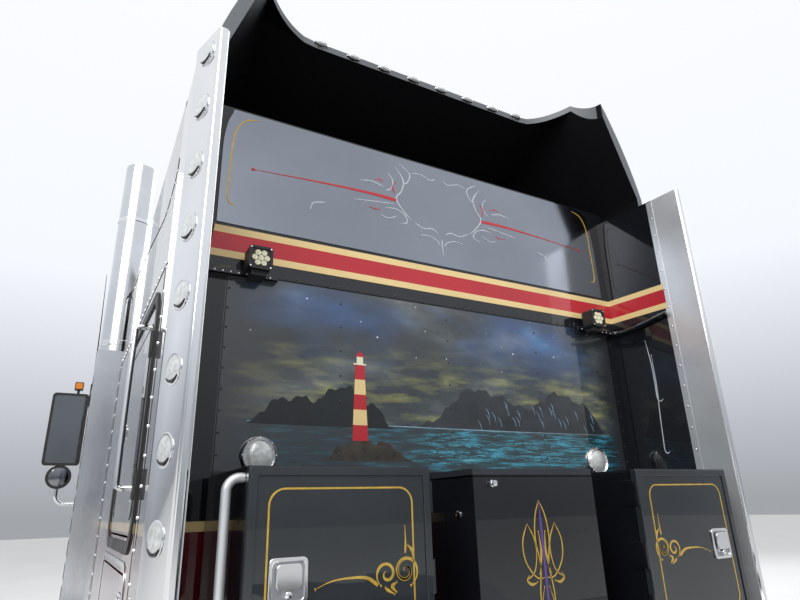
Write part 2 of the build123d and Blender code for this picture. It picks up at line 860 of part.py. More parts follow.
# Fifth wheel: brackets on the rails with a cross shaft, and a plate that rocks on it
coupling_bracket_x = 330
lug_clear = 6
with BuildPart() as fifth_wheel_base:
    with BuildSketch(level(rail_top_z)):
        with Locations((0, coupling_y)):
            Rectangle(2 * rail_outer_x, 420)
    extrude(amount=16)
    for bracket_side in (-1, 1):
        with BuildSketch(side(bracket_side * coupling_bracket_x - 30)):
            with BuildLine():
                Polyline(
                    (coupling_y - 160, rail_top_z + 16),
                    (coupling_y + 160, rail_top_z + 16),
                    (coupling_y + 50, coupling_pivot_z + 20),
                    (coupling_y - 50, coupling_pivot_z + 20),
                    close=True,
                )
            make_face()
        extrude(amount=60)
    with BuildSketch(side(-coupling_bracket_x - 80)):
        with Locations((coupling_y, coupling_pivot_z)):
            Circle(coupling_pivot_radius)
    extrude(amount=2 * coupling_bracket_x + 160)
write(fifth_wheel_base.part, "fifth_wheel_base")

plate_bottom_z = coupling_top_z - coupling_plate
throat_half_width = 250
with BuildPart() as fifth_wheel_plate:
    with BuildSketch(level(plate_bottom_z)):
        with BuildLine():
            Polyline(
                (0, coupling_y + coupling_half_length),
                (coupling_half_width - 150, coupling_y + coupling_half_length),
                (coupling_half_width, coupling_y + coupling_half_length - 160),
                (coupling_half_width, coupling_y - coupling_half_length + 60),
                (throat_half_width, coupling_y - coupling_half_length),
                (60, coupling_y - 110),
                (0, coupling_y - 110),
                close=True,
            )
        make_face()
        mirror(about=Plane.YZ)
    extrude(amount=coupling_plate)
    with BuildSketch(level(plate_bottom_z - 5)):
        with Locations((0, coupling_y)):
            Circle(kingpin_bore_radius)
    extrude(amount=coupling_plate + 10, mode=Mode.SUBTRACT)
    for lug_side in (-1, 1):
        for lug_x in (coupling_bracket_x - 30 - lug_clear - 24, coupling_bracket_x + 30 + lug_clear):
            lug_start_x = lug_side * lug_x if lug_side > 0 else -lug_x - 24
            with BuildSketch(side(lug_start_x)):
                with Locations((coupling_y, coupling_pivot_z)):
                    Rectangle(110, plate_bottom_z - coupling_pivot_z + 45, align=(Align.CENTER, Align.MIN))
                    Circle(55)
            extrude(amount=24)
    with BuildSketch(side(-coupling_bracket_x - 100)):
        with Locations((coupling_y, coupling_pivot_z)):
            Circle(coupling_pivot_radius + running_gap)
    extrude(amount=2 * coupling_bracket_x + 200, mode=Mode.SUBTRACT)
write(fifth_wheel_plate.part, "fifth_wheel_plate")

# Guards over the twin wheels, on stays from the rails
guard_radius = 600
guard_wall = 12
guard_half_height = 330
guard_inner_x = 590
guard_width = 650
guard_stay = 40
guard_stay_drop = 70
with BuildPart() as rear_guards:
    for drive_y in drive_axle_ys:
        with BuildSketch(side(guard_inner_x)):
            with Locations((drive_y, axle_z)):
                Circle(guard_radius + guard_wall)
                Circle(guard_radius, mode=Mode.SUBTRACT)
            with Locations((drive_y, axle_z + guard_half_height)):
                Rectangle(
                    3 * guard_radius,
                    2 * guard_radius,
                    align=(Align.CENTER, Align.MAX),
                    mode=Mode.SUBTRACT,
                )
        extrude(amount=guard_width)
        with BuildSketch(side(rail_outer_x)):
            with Locations((drive_y, rail_top_z - guard_stay_drop)):
                Rectangle(
                    guard_stay,
                    axle_z + guard_radius + guard_wall / 2 - rail_top_z + guard_stay_drop,
                    align=(Align.CENTER, Align.MIN),
                )
        extrude(amount=guard_inner_x - rail_outer_x + 2)
    mirror(about=Plane.YZ)
write(rear_guards.part, "rear_guards")

# Tail lamp bar across the rail ends
tail_lamp_radius = 52
tail_lamp_xs = (620, 790, 960)
with BuildPart() as tail_bar:
    with BuildSketch(across(rear_end_y + 60)):
        with Locations((0, 700)):
            Rectangle(2200, 170)
    extrude(amount=40)
    with BuildSketch(across(rear_end_y + 60)):
        with Locations((0, rail_bottom_z + 20)):
            Rectangle(2 * rail_outer_x, rail_height - 40, align=(Align.CENTER, Align.MIN))
    extrude(amount=40)
    for lamp_side in (-1, 1):
        for lamp_x in tail_lamp_xs:
            with BuildSketch(across(rear_end_y + 20)):
                with Locations((lamp_side * lamp_x, 700)):
                    Circle(tail_lamp_radius)
            extrude(amount=20)
write(tail_bar.part, "tail_bar")

# Hood: a tapering shell with the two fenders
def hood_outline(half_width, top_z, bottom_z):
    Polyline(
        (-half_width, bottom_z),
        (half_width, bottom_z),
        (half_width, top_z),
        (-half_width, top_z),
        close=True,
    )


with BuildPart() as hood:
    for end_y, half_width, top_z, corner in (
        (hood_rear_y, hood_rear_half_width, hood_rear_top_z, 160),
        (hood_front_y, hood_front_half_width, hood_front_top_z, 120),
    ):
        with BuildSketch(across(end_y)) as hood_end:
            with BuildLine():
                hood_outline(half_width, top_z, hood_bottom_z)
            make_face()
            fillet(hood_end.vertices().group_by(Axis.Y)[-1], corner)
    loft()
    for fender_side in (-1, 1):
        with BuildSketch(side(fender_side * fender_inner_x)):
            with BuildLine():
                fender_top = (front_axle_y + 20, axle_z + fender_arch_radius + 70)
                Line((fender_front_y, fender_front_z), (fender_front_y, 880))
                ThreePointArc((fender_front_y, 880), fender_top, (fender_rear_y, 900))
                Line((fender_rear_y, 900), (fender_rear_y - 10, 600))
                Line((fender_rear_y - 10, 600), (front_axle_y, 600))
                Line((front_axle_y, 600), (fender_front_y, fender_front_z))
            make_face()
            with Locations((front_axle_y, axle_z)):
                Circle(fender_arch_radius, mode=Mode.SUBTRACT)
        extrude(amount=fender_side * (fender_outer_x - fender_inner_x))
    fender_crowns = hood.edges().filter_by(
        lambda edge: edge.geom_type == GeomType.CIRCLE
        and abs(edge.center().X) > fender_outer_x - 1
        and edge.radius > fender_arch_radius + 1
    )
    fillet(fender_crowns, fender_crown_radius)
    for end_y, half_width, top_z, corner in (
        (hood_rear_y - 5, hood_rear_half_width - hood_wall, hood_rear_top_z - hood_wall, 130),
        (hood_front_y + 5, hood_front_half_width - hood_wall, hood_front_top_z - hood_wall, 90),
    ):
        with BuildSketch(across(end_y)) as hood_hollow:
            with BuildLine():
                hood_outline(half_width, top_z, hood_bottom_z - 500)
            make_face()
            fillet(hood_hollow.vertices().group_by(Axis.Y)[-1], corner)
    loft(mode=Mode.SUBTRACT)
write(hood.part, "hood")

# Grille: polished surround with upright bars
grille_half_width = hood_front_half_width + 10
grille_top_z = hood_front_top_z + 10
grille_rim = 55
with BuildPart() as grille:
    with BuildSketch(across(hood_front_y + grille_depth)) as grille_face:
        with BuildLine():
            hood_outline(grille_half_width, grille_top_z, grille_bottom_z)
        make_face()
        fillet(grille_face.vertices().group_by(Axis.Y)[-1], 120)
    extrude(amount=grille_depth)
    with BuildSketch(across(hood_front_y + grille_depth)) as grille_mouth:
        with BuildLine():
            hood_outline(
                grille_half_width - grille_rim,
                grille_top_z - grille_rim,
                grille_bottom_z + grille_rim,
            )
        make_face()
        fillet(grille_mouth.vertices().group_by(Axis.Y)[-1], 70)
    extrude(amount=grille_depth, mode=Mode.SUBTRACT)
    bar_count = int((grille_half_width - grille_rim) / grille_bar_pitch)
    for bar_number in range(-bar_count, bar_count + 1):
        with BuildSketch(across(hood_front_y + grille_depth - 15)):
            with Locations((bar_number * grille_bar_pitch, grille_bottom_z + grille_rim / 2)):
                Rectangle(14, grille_top_z - grille_bottom_z - grille_rim, align=(Align.CENTER, Align.MIN))
        extrude(amount=25)
write(grille.part, "grille")

# Headlamps: a pair of round lamps a side on the fenders' noses
headlamp_radius = 88
headlamp_xs = (610, 800)
headlamp_z = 1190
with BuildPart() as headlamps:
    for lamp_x in headlamp_xs:
        with BuildSketch(across(fender_front_y - 10)):
            with Locations((lamp_x, headlamp_z)):
                Circle(headlamp_radius)
        extrude(amount=180)
    with BuildSketch(across(fender_front_y - 30)):
        with Locations((sum(headlamp_xs) / 2, headlamp_z)):
            Rectangle(headlamp_xs[1] - headlamp_xs[0], 2 * headlamp_radius - 10)
    extrude(amount=150)
    with BuildSketch(across(fender_front_y - 60)):
        with Locations((sum(headlamp_xs) / 2, headlamp_z - headlamp_radius)):
            Rectangle(110, 100)
    extrude(amount=110)
    mirror(about=Plane.YZ)
    add(hood.part, mode=Mode.SUBTRACT)
write(headlamps.part, "headlamps")

# Air cleaners on the cowl's sides
cleaner_radius = 185
cleaner_x = 905
cleaner_y = 2490
cleaner_bottom_z = 1040
cleaner_top_z = 1640
with BuildPart() as air_cleaners:
    with BuildSketch(level(cleaner_bottom_z)):
        with Locations((cleaner_x, cleaner_y)):
            Circle(cleaner_radius)
    extrude(amount=cleaner_top_z - cleaner_bottom_z)
    for bracket_z in (1150, 1480):
        with BuildSketch(level(bracket_z)):
            with Locations((cleaner_x, (cowl_y + cleaner_y) / 2)):
                Rectangle(80, cleaner_y - cowl_y)
        extrude(amount=60)
    mirror(about=Plane.YZ)
write(air_cleaners.part, "air_cleaners")

# Visor over the windscreen and five lamps on the cab roof
visor_wall = 8
with BuildPart() as roof_trim:
    with BuildSketch(side(-cab_half_width + 20)):
        with BuildLine():
            Polyline(
                (screen_top_y + 10, screen_top_z - 4),
                (screen_top_y + 210, screen_top_z - 104),
                (screen_top_y + 214, screen_top_z - 96),
                (screen_top_y - 60, screen_top_z + 60),
                close=True,
            )
        make_face()
    extrude(amount=2 * cab_half_width - 40)
    for lamp_number in range(-2, 3):
        with BuildSketch(across(screen_top_y - 160)):
            with Locations((lamp_number * 330, cab_roof_z)):
                Circle(30)
        extrude(amount=120)
    add(cab.part, mode=Mode.SUBTRACT)
write(roof_trim.part, "roof_trim")

# Work lamps on the rear wall, on short brackets
work_lamp_x = 888
work_lamp_z = 2500
work_lamp_size = 90
with BuildPart() as work_lamps:
    for lamp_side in (-1, 1):
        with BuildSketch(across(sleeper_rear_y)):
            with Locations((lamp_side * work_lamp_x, work_lamp_z - 55)):
                Rectangle(60, 20)
        extrude(amount=80)
        with BuildSketch(across(sleeper_rear_y - 30)):
            with Locations((lamp_side * work_lamp_x, work_lamp_z)):
                RectangleRounded(work_lamp_size, work_lamp_size, 12)
        extrude(amount=65)
write(work_lamps.part, "work_lamps")

# Seats, with the bunk and the dash seen through the glass
seat_rows = (-480, 480)
seat_base_y = cab_rear_y + 265
seat_base_z = cab_floor_z + cab_wall
seat_width = 480
seat_cushion_z = seat_base_z + 430
seat_back_z = seat_base_z + 1080
with BuildPart() as seats:
    for seat_x in seat_rows:
        with BuildSketch(side(seat_x - seat_width / 2)):
            with BuildLine():
                Polyline(
                    (seat_base_y, seat_base_z),
                    (seat_base_y + 360, seat_base_z),
                    (seat_base_y + 480, seat_cushion_z - 100),
                    (seat_base_y + 480, seat_cushion_z),
                    (seat_base_y + 90, seat_cushion_z - 10),
                    (seat_base_y - 40, seat_back_z),
                    (seat_base_y - 150, seat_back_z),
                    (seat_base_y - 70, seat_cushion_z - 80),
                    close=True,
                )
            make_face()
        extrude(amount=seat_width)
write(seats.part, "seats")

bunk_bottom_z = 1470
bunk_height = 150
bunk_depth = 800
bunk_half_width = sleeper_half_width - cab_wall - 20
steer_x = 480
steer_y = 1860
steer_z = cab_floor_z + 800
steer_axis = (0, -0.5, 0.866)
column_gap = 15
steer_plane = Plane(origin=(steer_x, steer_y, steer_z), x_dir=(1, 0, 0), z_dir=steer_axis)
with BuildPart() as cab_fittings:
    with BuildSketch(side(-cab_half_width + cab_wall)):
        with BuildLine():
            Polyline(
                (cowl_y - cab_wall, cowl_z - 420),
                (cowl_y - cab_wall, cowl_z - 60),
                (cowl_y - 180, cowl_z - 70),
                (cowl_y - 270, cowl_z - 200),
                (cowl_y - 230, cowl_z - 420),
                close=True,
            )
        make_face()
    extrude(amount=2 * (cab_half_width - cab_wall))
    with BuildSketch(side(-bunk_half_width)):
        with Locations((sleeper_rear_y + cab_wall, bunk_bottom_z)):
            Rectangle(bunk_depth, bunk_height, align=(Align.MIN, Align.MIN))
    extrude(amount=2 * bunk_half_width)
    with BuildSketch(steer_plane.offset(-column_gap)):
        Circle(30)
    extrude(amount=-280)
write(cab_fittings.part, "cab_fittings")

# Steering wheel on the right, on its column
steer_ring_radius = 225
steer_rim_radius = 14
with BuildPart() as steering_wheel:
    with BuildSketch(Plane(origin=(steer_x, steer_y, steer_z), x_dir=(1, 0, 0), z_dir=(0, -0.866, -0.5))):
        with Locations((steer_ring_radius, 0)):
            Circle(steer_rim_radius)
    revolve(axis=Axis((steer_x, steer_y, steer_z), steer_axis))
    with BuildSketch(steer_plane.offset(-12)):
        Circle(50)
        Rectangle(2 * steer_ring_radius, 30)
    extrude(amount=20)
write(steering_wheel.part, "steering_wheel")

# Steering knuckles: ears above and below the axle's eye, the pin through both, and the spindle
ear_gap = 0.3
ear_height = 30
ear_radius = 50
knuckle_plate_x = kingpin_x + 62
knuckle_plate = 24
spindle_radius = hub_bore_radius - running_gap
arm_reach_x = 60
arm_reach_y = 220
arm_z = axle_z - eye_half_height - ear_height
tie_pin_radius = 12
for side_name, door_side in door_sides:
    with BuildPart() as knuckle:
        for ear_z in (axle_z + eye_half_height + ear_gap, axle_z - eye_half_height - ear_gap - ear_height):
            with BuildSketch(level(ear_z)):
                with Locations((door_side * kingpin_x, front_axle_y)):
                    Circle(ear_radius)
                with Locations((door_side * (kingpin_x + knuckle_plate_x + knuckle_plate) / 2, front_axle_y)):
                    Rectangle(knuckle_plate_x + knuckle_plate - kingpin_x, 2 * ear_radius)
            extrude(amount=ear_height)
        with BuildSketch(side(door_side * knuckle_plate_x)):
            with Locations((front_axle_y, axle_z)):
                Rectangle(2 * ear_radius, 2 * (eye_half_height + ear_height))
        extrude(amount=door_side * knuckle_plate)
        with BuildSketch(side(door_side * knuckle_plate_x)):
            with Locations((front_axle_y, axle_z)):
                Circle(spindle_radius)
        extrude(amount=door_side * (front_wheel_x + 80 - knuckle_plate_x))
        with BuildSketch(level(arm_z)):
            with Locations((door_side * kingpin_x, front_axle_y)):
                Circle(kingpin_radius)
        extrude(amount=2 * (eye_half_height + ear_height))
        with BuildSketch(level(arm_z)):
            with BuildLine():
                Polyline(
                    (door_side * (kingpin_x - 35), front_axle_y),
                    (door_side * (kingpin_x + 35), front_axle_y),
                    (door_side * (kingpin_x - arm_reach_x + 30), front_axle_y - arm_reach_y - 25),
                    (door_side * (kingpin_x - arm_reach_x - 30), front_axle_y - arm_reach_y - 25),
                    close=True,
                )
            make_face()
        extrude(amount=25)
    write(knuckle.part, "knuckle_" + side_name)

# Tie rod behind the axle, hung under the arms
tie_x = kingpin_x - arm_reach_x
tie_y = front_axle_y - arm_reach_y
tie_z = arm_z - 35
with BuildPart() as tie_rod:
    with BuildSketch(side(-tie_x)):
        with Locations((tie_y, tie_z)):
            Circle(18)
    extrude(amount=2 * tie_x)
    with BuildSketch(level(tie_z - 24)):
        with Locations((tie_x, tie_y), (-tie_x, tie_y)):
            Circle(26)
    extrude(amount=48)
write(tie_rod.part, "tie_rod")

# Wheels, each turned about its own axle line
def tyre_half_profile(middle_x):
    """Section of a solid tyre ring, local x along the axle, local y the radius."""
    bead = rim_half_width
    shoulder = tyre_half_width - 14
    tread = tyre_half_width - 34
    sidewall_y = (rim_radius + tyre_radius) / 2 - 12
    shoulder_y = tyre_radius - 26
    Line((middle_x - bead, rim_radius), (middle_x + bead, rim_radius))
    ThreePointArc(
        (middle_x + bead, rim_radius),
        (middle_x + tyre_half_width, sidewall_y),
        (middle_x + shoulder, shoulder_y),
    )
    Line((middle_x + shoulder, shoulder_y), (middle_x + tread, tyre_radius))
    Line((middle_x + tread, tyre_radius), (middle_x - tread, tyre_radius))
    Line((middle_x - tread, tyre_radius), (middle_x - shoulder, shoulder_y))
    ThreePointArc(
        (middle_x - shoulder, shoulder_y),
        (middle_x - tyre_half_width, sidewall_y),
        (middle_x - bead, rim_radius),
    )


for side_name, door_side in door_sides:
    hub = (door_side * front_wheel_x, front_axle_y, axle_z)
    wheel_plane = Plane(origin=hub, x_dir=(door_side, 0, 0), z_dir=(0, 0, door_side))
    wheel_axis = Axis(hub, (1, 0, 0))
    with BuildPart() as front_tyre:
        with BuildSketch(wheel_plane):
            with BuildLine():
                tyre_half_profile(0)
            make_face()
        revolve(axis=wheel_axis)
    write(front_tyre.part, "front_tyre_" + side_name)
    with BuildPart() as front_rim:
        with BuildSketch(wheel_plane):
            with BuildLine():
                Polyline(
                    (-rim_half_width, rim_radius - rim_wall),
                    (60, rim_radius - rim_wall),
                    (95, 190),
                    (95, 110),
                    (-40, 110),
                    (-40, hub_bore_radius),
                    (90, hub_bore_radius),
                    (90, 0),
                    (140, 0),
                    (140, 80),
                    (112, 80),
                    (112, 200),
                    (80, rim_radius - rim_wall),
                    (rim_half_width, rim_radius - rim_wall),
                    (rim_half_width, rim_radius),
                    (-rim_half_width, rim_radius),
                    close=True,
                )
            make_face()
        revolve(axis=wheel_axis)
    write(front_rim.part, "front_rim_" + side_name)

axle_names = ("mid", "rear")
for axle_name, drive_y in zip(axle_names, drive_axle_ys):
    for side_name, door_side in door_sides:
        hub = (door_side * drive_wheel_x, drive_y, axle_z)
        wheel_plane = Plane(origin=hub, x_dir=(door_side, 0, 0), z_dir=(0, 0, door_side))
        wheel_axis = Axis(hub, (1, 0, 0))
        with BuildPart() as drive_tyres:
            with BuildSketch(wheel_plane):
                for twin_x in (-twin_offset, twin_offset):
                    with BuildLine():
                        tyre_half_profile(twin_x)
                    make_face()
            revolve(axis=wheel_axis)
        write(drive_tyres.part, axle_name + "_tyres_" + side_name)
        with BuildPart() as drive_rim:
            with BuildSketch(wheel_plane):
                for twin_side in (-1, 1):
                    with BuildLine():
                        Polyline(
                            (twin_side * (twin_offset + rim_half_width), rim_radius),
                            (twin_side * (twin_offset - rim_half_width), rim_radius),
                            (0, 185),
                            (0, 160),
                            (twin_side * 18, 160),
                            (twin_side * 18, 185),
                            (twin_side * (twin_offset - rim_half_width + 20), rim_radius - rim_wall),
                            (twin_side * (twin_offset + rim_half_width), rim_radius - rim_wall),
                            close=True,
                        )
                    make_face()
                with BuildLine():
                    Polyline(
                        (-80, hub_bore_radius),
                        (spindle_reach, hub_bore_radius),
                        (spindle_reach, 0),
                        (spindle_reach + 30, 0),
                        (spindle_reach + 30, 90),
                        (40, 110),
                        (18, 110),
                        (18, 165),
                        (-18, 165),
                        (-18, 110),
                        (-80, 110),
                        close=True,
                    )
                make_face()
            revolve(axis=wheel_axis)
        write(drive_rim.part, axle_name + "_rim_" + side_name)
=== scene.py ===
import math
import random

import bpy
import bmesh
from mathutils import Matrix, Vector


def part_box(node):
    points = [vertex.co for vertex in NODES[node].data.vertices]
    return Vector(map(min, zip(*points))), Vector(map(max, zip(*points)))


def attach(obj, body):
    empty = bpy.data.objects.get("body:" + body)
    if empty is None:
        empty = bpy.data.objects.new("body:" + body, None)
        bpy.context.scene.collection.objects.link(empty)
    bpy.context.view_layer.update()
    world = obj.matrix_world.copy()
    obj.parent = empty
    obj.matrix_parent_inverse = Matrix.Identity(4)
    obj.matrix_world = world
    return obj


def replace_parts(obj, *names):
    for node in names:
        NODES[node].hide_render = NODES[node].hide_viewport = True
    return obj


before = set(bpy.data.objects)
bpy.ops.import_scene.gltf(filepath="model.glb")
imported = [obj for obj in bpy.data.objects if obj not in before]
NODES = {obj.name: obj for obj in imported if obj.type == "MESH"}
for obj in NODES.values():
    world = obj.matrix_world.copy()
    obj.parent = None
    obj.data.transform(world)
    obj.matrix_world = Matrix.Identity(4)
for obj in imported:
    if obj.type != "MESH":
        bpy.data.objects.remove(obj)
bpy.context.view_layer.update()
random.seed(7)

# Places from the source, in metres
WALL_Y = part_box("sleeper")[0].y
SIDE_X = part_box("sleeper")[1].x
PILLAR_FRONT_Y, PILLAR_REAR_Y = -1.200, -1.350
PILLAR_OUTER_X, PILLAR_REAR_X, PILLAR_INNER_X = 1.222, 1.178, 1.140
REAR_WALL_HALF = 1.100
LAMP_FIRST_Z, LAMP_PITCH, LAMP_COUNT = 1.109, 0.217, 10
LINE_LOW_Z, LINE_HIGH_Z = 1.535, 1.568
BAND_Z = (2.520, 2.549, 2.621, 2.650)
SEAM_Z = 2.462
CREST_Y, CREST_Z = -0.800, 3.7445
FRONT_AXLE_Y, DRIVE_AXLE_YS = 3.405, (-2.185, -3.505)
AXLE_Z, FRONT_WHEEL_X, DRIVE_WHEEL_X, TWIN_OFFSET = 0.520, 1.060, 0.915, 0.170
REARWARD, FORWARD, UP = (0, -1, 0), (0, 1, 0), (0, 0, 1)
SIDES = (("left", -1), ("right", 1))


# Camera: eye height and place fitted to the two rows of pillar lamps
EYE, YAW, PITCH, ROLL = (-1.4297, -2.9373, 1.600), 29.782, 19.725, -1.693
SENSOR_MM, LENS_MM, VIEW_REACH = 36.0, 26.134, 200.0


def aim_camera():
    yaw, pitch, roll = math.radians(YAW), math.radians(PITCH), math.radians(ROLL)
    forward = Vector((math.sin(yaw) * math.cos(pitch), math.cos(yaw) * math.cos(pitch), math.sin(pitch)))
    right = Vector((math.cos(yaw), -math.sin(yaw), 0.0))
    up = right.cross(forward)
    right_rolled = right * math.cos(roll) + up * math.sin(roll)
    up_rolled = up * math.cos(roll) - right * math.sin(roll)
    data = bpy.data.cameras.new("camera")
    data.sensor_width = SENSOR_MM
    data.lens = LENS_MM
    data.clip_end = VIEW_REACH
    cam = bpy.data.objects.new("camera", data)
    turn = Matrix((right_rolled, up_rolled, -forward)).transposed()
    cam.matrix_world = Matrix.Translation(EYE) @ turn.to_4x4()
    bpy.context.scene.collection.objects.link(cam)
    bpy.context.scene.camera = cam


aim_camera()


# Node helpers
def node(tree, kind, **values):
    made = tree.nodes.new("ShaderNode" + kind)
    for key, value in values.items():
        if key in made.inputs:
            made.inputs[key].default_value = value
        else:
            setattr(made, key, value)
    return made


def blend_colour(tree, mode, factor, first, second):
    mix = node(tree, "Mix", data_type="RGBA", blend_type=mode)
    for socket, value in ((mix.inputs[0], factor), (mix.inputs[6], first), (mix.inputs[7], second)):
        if isinstance(value, bpy.types.NodeSocket):
            tree.links.new(value, socket)
        elif isinstance(value, (int, float)):
            socket.default_value = value
        else:
            socket.default_value = (*value, 1.0)
    return mix.outputs[2]


def ramp(tree, source, stops, constant=False):
    made = node(tree, "ValToRGB")
    made.color_ramp.interpolation = "CONSTANT" if constant else "LINEAR"
    elements = made.color_ramp.elements
    while len(elements) < len(stops):
        elements.new(0.5)
    for element, (place, colour) in zip(elements, stops):
        element.position = place
        element.color = (*colour, 1.0) if len(colour) == 3 else colour
    tree.links.new(source, made.inputs[0])
    return made.outputs[0]


def maths(tree, operation, first, second=0.0, clamp=False):
    made = node(tree, "Math", operation=operation, use_clamp=clamp)
    for socket, value in zip(made.inputs, (first, second)):
        if isinstance(value, bpy.types.NodeSocket):
            tree.links.new(value, socket)
        else:
            socket.default_value = value
    return made.outputs[0]


def noise(tree, scale, detail=5.0, stretch=None, kind="TexNoise"):
    coords = node(tree, "TexCoord")
    source = coords.outputs["Object"]
    if stretch:
        mapping = node(tree, "Mapping", Scale=stretch)
        tree.links.new(source, mapping.inputs["Vector"])
        source = mapping.outputs[0]
    made = node(tree, kind, Scale=scale)
    if kind == "TexNoise":
        made.inputs["Detail"].default_value = detail
    tree.links.new(source, made.inputs["Vector"])
    return made.outputs[0]


def height_coord(tree, axis="Z"):
    coords = node(tree, "TexCoord")
    split = node(tree, "SeparateXYZ")
    tree.links.new(coords.outputs["Object"], split.inputs[0])
    return split.outputs[axis]


def stretch_range(tree, source, low, high, new_low, new_high):
    made = node(tree, "MapRange")
    tree.links.new(source, made.inputs["Value"])
    for key, value in (("From Min", low), ("From Max", high), ("To Min", new_low), ("To Max", new_high)):
        made.inputs[key].default_value = value
    return made.outputs[0]


def finish_surface(tree, bsdf, rough, rough_vary, grain, bump, bump_scale, bump_stretch=None):
    if rough_vary:
        smear = stretch_range(
            tree, noise(tree, grain * 0.6), 0.3, 0.7, rough * (1 - rough_vary), rough * (1 + rough_vary)
        )
        tree.links.new(smear, bsdf.inputs["Roughness"])
    else:
        bsdf.inputs["Roughness"].default_value = rough
    if bump:
        made = node(tree, "Bump", Strength=bump)
        made.inputs["Distance"].default_value = BUMP_REACH
        tree.links.new(noise(tree, bump_scale, 3.0, bump_stretch), made.inputs["Height"])
        tree.links.new(made.outputs[0], bsdf.inputs["Normal"])


def new_material(name):
    made = bpy.data.materials.new(name)
    made.use_nodes = True
    return made, made.node_tree, made.node_tree.nodes["Principled BSDF"]


def set_inputs(shader, **values):
    for key, value in values.items():
        shader.inputs[key.replace("_", " ")].default_value = value


def material(name, colour, rough=0.4, metal=0.0, coat=0.0, vary=0.15, grain=6.0, rough_vary=0.25,
             bump=0.0, bump_scale=300.0, bump_stretch=None, bands=None, dust=None, sheen=0.0):
    made, tree, bsdf = new_material(name)
    set_inputs(bsdf, Metallic=metal, Coat_Weight=coat, Coat_Roughness=COAT_ROUGH, Sheen_Weight=sheen,
               Specular_IOR_Level=COATED_SPECULAR if coat else PLAIN_SPECULAR)
    if bands:
        share = maths(tree, "DIVIDE", height_coord(tree), BAND_REACH)
        base = ramp(tree, share, [(z / BAND_REACH, c) for z, c in bands], True)
    else:
        base = colour
    tint = ramp(tree, noise(tree, grain), [(0.3, (1 - vary,) * 3), (0.7, (1.0, 1.0, 1.0))])
    base = blend_colour(tree, "MULTIPLY", 1.0, base, tint)
    if dust:
        low, high, dust_colour, amount = dust
        mask = stretch_range(tree, height_coord(tree), low, high, amount, 0.0)
        patchy = maths(
            tree, "MULTIPLY", mask, stretch_range(tree, noise(tree, 9.0, 8.0), 0.35, 0.65, 0.2, 1.0)
        )
        base = blend_colour(tree, "MIX", patchy, base, dust_colour)
    tree.links.new(base, bsdf.inputs["Base Color"])
    finish_surface(tree, bsdf, rough, rough_vary, grain, bump, bump_scale, bump_stretch)
    return made


def clear_material(name, colour):
    made, tree, bsdf = new_material(name)
    set_inputs(bsdf, Transmission_Weight=1.0, IOR=GLASS_INDEX)
    tint = ramp(tree, noise(tree, 3.0), [(0.3, (0.96,) * 3), (0.7, (1,) * 3)])
    tree.links.new(blend_colour(tree, "MULTIPLY", 1.0, colour, tint), bsdf.inputs["Base Color"])
    finish_surface(tree, bsdf, GLASS_ROUGH, 0.3, 20.0, 0.0, 1.0)
    return made


